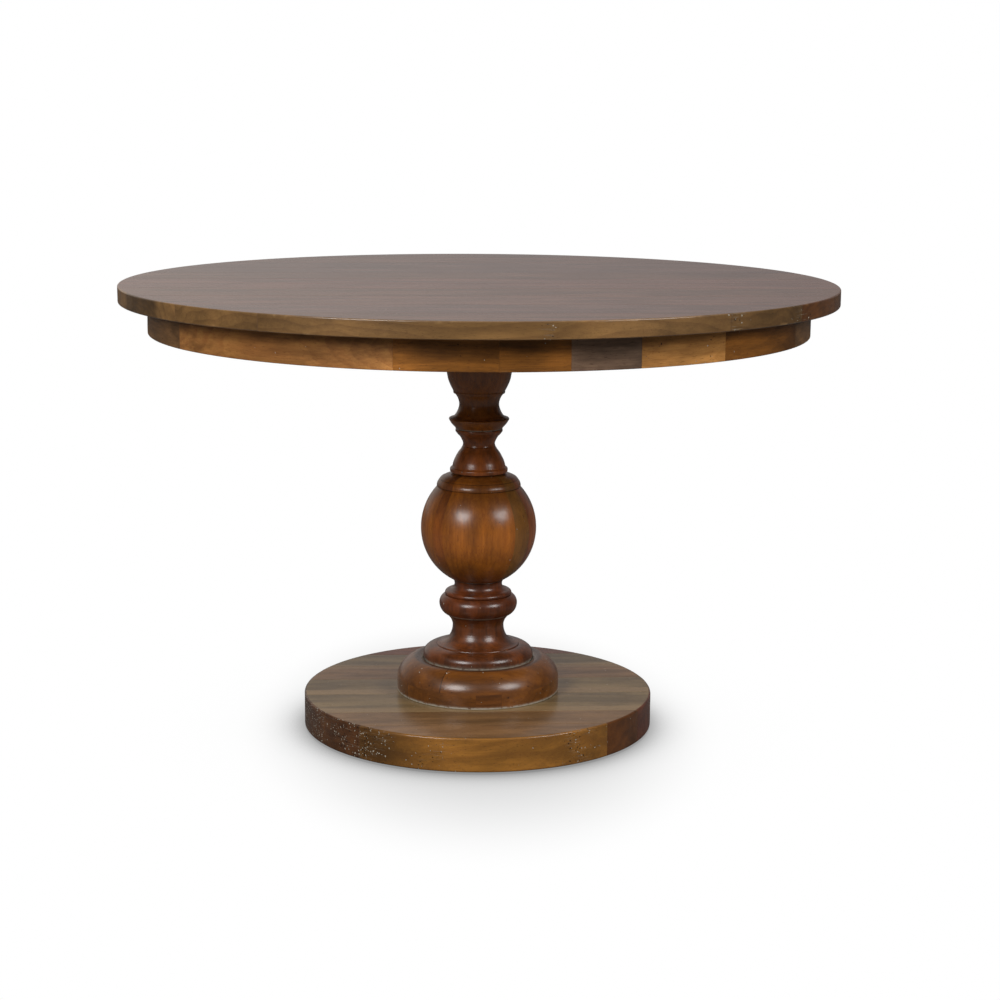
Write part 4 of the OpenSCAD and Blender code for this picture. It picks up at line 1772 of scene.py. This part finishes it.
@dataclass(frozen=True)
class Studio:
    """The floor, the light round the table and the camera.

    Attributes:
        floor_size: Width of the floor.
        floor_tone: Colour of the floor.
        floor_patch: Colour that it drifts towards in places.
        floor_dim: Share of its colour that the floor loses in the table's reflections.
        contact_reach: How near to the floor the table gives it a painted contact shadow.
        contact_dark: Brightness that the floor keeps in its painted shadow right against the table.
        oval: Closeness of the soft oval of painted shadow round the table, across and in depth, per metre.
        oval_dark: Brightness that the floor keeps in that painted shadow.
        back_light: Brightness of the surroundings behind the table.
        front_light: Brightness of the surroundings in front of it.
        overhead_light: Brightness straight above.
        side_light: Shares of that brightness on the left and on the right.
        room_red: Share of red in the light of the room.
        side_blue: Shares of blue on the left and on the right.
        lamps: The soft lamps.
        lens: Focal length of the camera, in millimetres.
        place: Where the camera stands.
        tilt: How far the camera looks down, in degrees.
        turn: How far it is turned about the upright, in degrees.
        roll: How far it leans, in degrees.
    """

    floor_size: float = 60.0
    floor_tone: str = "#f4f4f3"
    floor_patch: str = "#e9e9e7"
    floor_dim: float = 0.82
    contact_reach: float = 0.3
    contact_dark: float = 0.38
    oval: tuple[float, float] = (3.1, 1.75)
    oval_dark: float = 0.72
    back_light: float = 0.36
    front_light: float = 0.05
    overhead_light: float = 0.75
    side_light: tuple[float, float] = (1.58, 0.66)
    room_red: float = 1.08
    side_blue: tuple[float, float] = (0.93, 1.01)
    lamps: Sequence[Lamp] = (
        Lamp("lamp_left", -37.3, 29.0, 3.2, 1.5, 80.0),
        Lamp("lamp_right", 48.2, 29.5, 3.2, 1.5, 62.0),
    )
    lens: float = 78.22
    place: tuple[float, float, float] = (-0.1737, -3.646, 1.1011)
    tilt: float = 10.984
    turn: float = -3.3
    roll: float = 0.398

    def floor(self) -> bpy.types.Object:
        """Lay the pale floor, which can be seen through from below; the camera sees it white with a painted
        shadow round the table.

        Returns:
            The floor.
        """
        half = self.floor_size / 2
        corners = [(-half, -half, 0), (half, -half, 0), (half, half, 0), (-half, half, 0)]
        mesh = bpy.data.meshes.new("studio_floor")
        mesh.from_pydata(corners, [], [(0, 1, 2, 3)])
        slab = bpy.data.objects.new("studio_floor", mesh)
        mat, b = new_material("studio_floor")
        where = b.add("ShaderNodeTexCoord").outputs["Object"]
        patch = b.span(b.noise(where, 1.3), 0.3, 0.7, 0.0, 0.03)
        cloud = b.mix(patch, linear(self.floor_tone), linear(self.floor_patch))
        dim = b.mix(self.floor_dim, cloud, (0.0, 0.0, 0.0, 1.0))
        matt = b.add("ShaderNodeBsdfDiffuse", Color=dim).outputs[0]
        # painted shadow: to the camera the floor is a white glow, darkened near the table and in a soft oval
        # round it
        hidden = b.add("ShaderNodeAmbientOcclusion", {"samples": 16}, Distance=self.contact_reach)
        close = b.span(hidden.outputs["AO"], 0.35, 1.0, self.contact_dark, 1.0)
        round_base = b.vector("LENGTH", b.vector("MULTIPLY", where, (*self.oval, 0.0)))
        shade = b.math("MULTIPLY", close, b.span(round_base, 0.45, 1.3, self.oval_dark, 1.0))
        painted_shadow = b.add("ShaderNodeEmission", Color=b.grey(shade), Strength=1.0).outputs[0]
        straight = b.add("ShaderNodeLightPath").outputs["Is Camera Ray"]
        above = b.add("ShaderNodeMixShader", in0=straight, in1=matt, in2=painted_shadow).outputs[0]
        behind = b.add("ShaderNodeNewGeometry").outputs["Backfacing"]
        clear = b.add("ShaderNodeBsdfTransparent").outputs[0]
        shown = b.add("ShaderNodeMixShader", in0=behind, in1=above, in2=clear).outputs[0]
        b.add("ShaderNodeOutputMaterial", Surface=shown)
        mesh.materials.append(mat)
        bpy.context.scene.collection.objects.link(slab)
        return slab

    def world(self) -> None:
        """Set the surroundings: a white backdrop to the eye, and the light of a dim, tinted room."""
        world = bpy.data.worlds.new("studio")
        world.use_nodes = True
        bpy.context.scene.world = world
        b = NodeBoard(world.node_tree)
        b.tree.nodes.clear()
        way = b.add("ShaderNodeSeparateXYZ", in0=b.add("ShaderNodeTexCoord").outputs["Generated"]).outputs
        lean = b.span(way["X"], -0.3, 0.3, *self.side_light, smooth=False)
        depth = b.span(way["Y"], 0.3, 0.95, self.front_light, self.back_light)
        above = b.span(way["Z"], 0.5, 0.95)
        rest = b.math("MULTIPLY", b.math("MULTIPLY", depth, lean), b.math("SUBTRACT", 1.0, above))
        level = b.math("ADD", rest, b.math("MULTIPLY", above, self.overhead_light))
        blue = b.span(way["X"], -0.3, 0.3, *self.side_blue, smooth=False)
        tint = b.add("ShaderNodeCombineColor", Red=self.room_red, Green=1.0, Blue=blue).outputs[0]
        white = (1.0, 1.0, 1.0, 1.0)
        room = b.add("ShaderNodeBackground", Color=b.mix(above, tint, white), Strength=level).outputs[0]
        seen = b.add("ShaderNodeBackground", Color=white, Strength=1.0).outputs[0]
        straight = b.add("ShaderNodeLightPath").outputs["Is Camera Ray"]
        mixed = b.add("ShaderNodeMixShader", in0=straight, in1=room, in2=seen).outputs[0]
        b.add("ShaderNodeOutputWorld", Surface=mixed)

    def camera(self) -> bpy.types.Object:
        """Set up the camera and make it the scene's.

        Returns:
            The camera.
        """
        data = bpy.data.cameras.new("camera")
        data.lens = self.lens
        data.sensor_width = 36.0
        camera = bpy.data.objects.new("camera", data)
        aim = Matrix.Rotation(math.radians(self.turn), 4, "Z")
        aim @= Matrix.Rotation(math.radians(90 - self.tilt), 4, "X")
        aim @= Matrix.Rotation(math.radians(self.roll), 4, "Z")
        camera.matrix_world = Matrix.Translation(Vector(self.place)) @ aim
        bpy.context.scene.collection.objects.link(camera)
        bpy.context.scene.camera = camera
        return camera

    def build(self) -> None:
        """Set up the whole studio."""
        self.floor()
        self.world()
        middle = Vector((0.0, 0.0, CAD_BOUNDS[1][2] / 2))
        for lamp in self.lamps:
            lamp.build(middle)
        self.camera()
        bpy.context.scene.view_settings.view_transform = "Standard"


# ------------------------------------------------------------------ the table


TOP_CUTS = (
    BoardCut(Stock.MAUVE_BROWN, Stock.OLIVE_GOLD),
    BoardCut(Stock.GREY_BROWN, Stock.OLIVE_GOLD, Stock.OLIVE_GOLD),
    BoardCut(Stock.WARM_BROWN, Stock.OLIVE_GOLD, Stock.RUST),
    BoardCut(Stock.MAUVE_BROWN, Stock.OLIVE_GOLD, Stock.RUST),
    BoardCut(Stock.PINK_BROWN, Stock.RUST),
    BoardCut(Stock.PINK_BROWN, Stock.OLIVE_GOLD),
    BoardCut(Stock.MAUVE_BROWN, Stock.RUST),
    BoardCut(Stock.GREY_BROWN, Stock.OLIVE_GOLD),
    BoardCut(Stock.GREY_BROWN, Stock.PLUM_BROWN),
    BoardCut(Stock.WARM_BROWN, Stock.OLIVE_GOLD),
    BoardCut(Stock.GREY_BROWN, Stock.RUST),
)

BASE_CUTS = (
    BoardCut(Stock.BEIGE, Stock.GOLD),
    BoardCut(Stock.AUBURN, Stock.BARK, Stock.UMBER),
    BoardCut(Stock.TAUPE, Stock.BARK, Stock.CLAY_RED, sap=0.22),
    BoardCut(Stock.TAUPE, Stock.MOSS_BROWN, Stock.UMBER, sap=0.3),
    BoardCut(Stock.BEIGE, Stock.TAUPE, sap=-0.18),
    BoardCut(Stock.TAUPE, Stock.UMBER, sap=0.15),
    BoardCut(Stock.CLAY_RED, Stock.GOLD),
)

APRON_STOCKS = (
    Stock.AMBER, Stock.SADDLE, Stock.SADDLE, Stock.ASH_BROWN, Stock.HONEY, Stock.SADDLE, Stock.MOSS_BROWN,
    Stock.SADDLE, Stock.AMBER, Stock.UMBER, Stock.HONEY, Stock.ASH_BROWN, Stock.SADDLE, Stock.AMBER,
    Stock.MOSS_BROWN,
)

BALL_STAVES = Course(
    1.0,
    (-143.0, -98.0, -53.3, -40.3, 36.7, 57.7, 97.0, 137.0, 177.0),
    (Stock.RED_BROWN, Stock.ORANGE_BROWN, Stock.RUSSET, Stock.ORANGE_BROWN, Stock.STRAW,
     Stock.RED_BROWN, Stock.ORANGE_BROWN, Stock.DEEP_RED, Stock.ORANGE_BROWN),
)

PLINTH_COURSES = (
    Course(0.36, (-125.0, -62.0, -4.8, 13.7, 75.0, 140.0),
           (Stock.PLINTH_BROWN, Stock.PLINTH_BROWN, Stock.UMBER, Stock.PLINTH_BROWN,
            Stock.RUSSET, Stock.PLINTH_BROWN)),
    Course(1.0, (-150.0, -30.0, 90.0), (Stock.PLINTH_BROWN, Stock.PLINTH_BROWN, Stock.PLINTH_BROWN)),
)


def one_block(stock: Stock) -> tuple[Course, ...]:
    """Return the courses of a piece that is turned from one block."""
    return (Course(1.0, (-180.0,), (stock,)),)


def top_wear(turn: np.ndarray) -> np.ndarray:
    """Give the wear of the top's rim at an angle from the front, in degrees."""
    return 0.01 + 0.35 * swell(turn, 37, 1.6) + 0.3 * swell(turn, 7, 1.8) + 0.3 * swell(turn, 53, 3)


def base_wear(turn: np.ndarray) -> np.ndarray:
    """Give the wear of the base's rim at an angle from the front, in degrees: its left end is battered."""
    battered = ramp(turn, -26, -44) * np.where(np.abs(turn) < 95, 1.0, 0.25)
    return 0.02 + 1.25 * battered + 0.5 * swell(turn, 31, 6) + 0.14 * swell(turn, -17, 8)


def top_shade(turn: np.ndarray) -> np.ndarray:
    """Give the share of its brightness that the top's rim keeps: painted shade and stains by angle from the
    front.

    Args:
        turn: The angle, in degrees.

    Returns:
        The share.
    """
    patch = ramp(turn, -57, -59) * ramp(turn, -72, -70)
    swells = 0.15 * swell(turn, 15, 6) - 0.3 * swell(turn, -36, 4)
    return 1 + swells - 0.4 * ramp(turn, 22, 50) - 0.55 * patch


def base_shade(turn: np.ndarray) -> np.ndarray:
    """Give the base rim's brightness share by angle from the front: painted shade to both sides, mixed with
    its dark left-hand stain.
    """
    return 1 - 0.6 * ramp(turn, -8, -37) - 0.26 * ramp(turn, 12, 40)


def apron_shade(turn: np.ndarray) -> np.ndarray:
    """Give the apron's brightness share by angle from the front: painted shade to the right, and stains near
    the front.
    """
    light = 0.25 * swell(turn, -22, 5) + 0.45 * swell(turn, -14.5, 2.5) + 0.36 * swell(turn, 9.5, 2.5)
    return 1 + light - 0.2 * swell(turn, 3, 5) - 0.32 * ramp(turn, 42, 56)


@dataclass
class PedestalTable:
    """The whole table, built from its sub-assemblies.

    Attributes:
        effects: The shared shader effects.
    """

    effects: Effects

    def tabletop(self) -> list[bpy.types.Object]:
        """Build the boarded top and the apron under it.

        Returns:
            The boards and the segments.
        """
        top_finish = WoodFinish("lacquered_top", ring_spacing=0.011, ring_share=0.4, fibre_share=0.35,
                                roughness=0.5, coat=0.75, coat_roughness=0.18, smear=0.03)
        apron_finish = WoodFinish("lacquered_apron", ring_spacing=0.008, ring_share=0.36,
                                  fibre_share=0.6, coat=0.3, cloud_share=0.4)
        top = RoundPanel("top_board_", TOP_CUTS, top_finish.material(self.effects), "top_wood", Easing(),
                         column=4 * MM, dents=12, seed=100, ring_depth=0.05,
                         wear=top_wear, shade=top_shade)
        apron = SegmentedApron(APRON_STOCKS, apron_finish.material(self.effects), "apron_wood",
                               Easing(rim=1.5 * MM, joint=0.4 * MM, step=3.5 * MM), apron_shade)
        return top.build() + apron.build()

    def column(self) -> list[bpy.types.Object]:
        """Build the six turned pieces from the plinth up.

        Returns:
            The pieces.
        """
        gloss = dict(roughness=0.5, coat=0.9, coat_roughness=0.27, ring_share=0.28, fibre_share=0.5)
        turned = WoodFinish("turned_gloss", ring_spacing=0.012, cloud_share=0.34, **gloss)
        reddish = WoodFinish("turned_red_gloss", ring_spacing=0.007, cloud_share=0.5, **gloss)
        brown = {"finish": turned.material(self.effects), "slot": "turned_wood"}
        red = {"finish": reddish.material(self.effects), "slot": "red_turned_wood"}
        pieces = [
            TurnedPiece("column_plinth", PLINTH_COURSES, **brown, upright=False, wear=0.05,
                        dust=2.6, dust_reach=2.6 * MM, carries="column_foot"),
            TurnedPiece("column_foot", one_block(Stock.CHESTNUT), **red, seed=41,
                        dust=2.4, dust_reach=4.6 * MM),
            TurnedPiece("column_collar", one_block(Stock.DEEP_RED), **red, seed=42,
                        dust=2.4, dust_reach=2 * MM),
            TurnedPiece("column_ball", (BALL_STAVES,), **brown, seed=43, turns=220, painted_light=0.4,
                        scribes=(0.85,)),
            TurnedPiece("column_neck", one_block(Stock.RED_BROWN), **red, seed=44, dust=1.4,
                        scribes=(0.48,)),
            TurnedPiece("column_capital", one_block(Stock.ORANGE_BROWN), **brown, seed=45, dust=1.0),
        ]
        return [piece.build() for piece in pieces]

    def base(self) -> list[bpy.types.Object]:
        """Build the boarded base.

        Returns:
            The boards.
        """
        finish = WoodFinish("lacquered_base", ring_spacing=0.010, ring_share=0.36, fibre_share=0.4,
                            roughness=0.5, coat=0.6, coat_roughness=0.18, knock_size=0.0033,
                            wear_amount=0.12, cloud_share=0.3).material(self.effects)
        panel = RoundPanel("base_board_", BASE_CUTS, finish, "base_wood", Easing(rim=3 * MM, step=3 * MM),
                           column=3 * MM, dents=20, seed=200, ring_depth=0.04,
                           wear=base_wear, shade=base_shade)
        return panel.build()

    def underside(self) -> list[bpy.types.Object]:
        """Build the plain wooden parts under the top, and dress the ironwork.

        Returns:
            The wooden parts.
        """
        plain = WoodFinish("bare_wood", ring_spacing=0.006, ring_share=0.6, roughness=0.65, coat=0.0)
        bare = plain.material(self.effects)
        parts = [
            BenchPart(node, bare, "pale_wood", seed=71 + k, along_y=along_y)
            for k, (node, along_y) in enumerate((
                ("batten_left", True),
                ("batten_right", True),
                ("mounting_cleat", False),
                ("apron_blocks", False),
                ("base_dowels", True),
            ))
        ]
        steel = MetalFinish("bright_steel", "#9b9c9c", 0.28, "#6f6a62").material(self.effects)
        zinc = MetalFinish("zinc_plate", "#a8a597", 0.34, "#7d7560").material(self.effects)
        nylon = MouldedFinish("glide_nylon", "#1f1f20", "#4a4845").material(self.effects)
        dress_nodes(("mounting_plate", "plate_bolts", "tie_rod", "rod_top_washer", "rod_top_nut",
                     "rod_base_washer", "rod_base_nut"), steel)
        dress_nodes(("apron_screws", "batten_screws", "cleat_screws", "threaded_inserts",
                     "plate_wood_screws", "plinth_screws", "glide_nails"), zinc)
        dress_nodes(("glides",), nylon)
        return [part.build() for part in parts]

    def build(self) -> list[bpy.types.Object]:
        """Build every sub-assembly."""
        return self.tabletop() + self.column() + self.base() + self.underside()


def main() -> None:
    """Build the table and its studio."""
    logging.basicConfig(level=logging.INFO, format="%(message)s")
    effects = Effects(make_wood_figure(), make_edge_wear(), make_knocks(), make_grime())
    pieces = PedestalTable(effects).build()
    Studio().build()
    bpy.context.view_layer.update()
    log.info("%d pieces built", len(pieces))


if __name__ == "__main__":
    main()
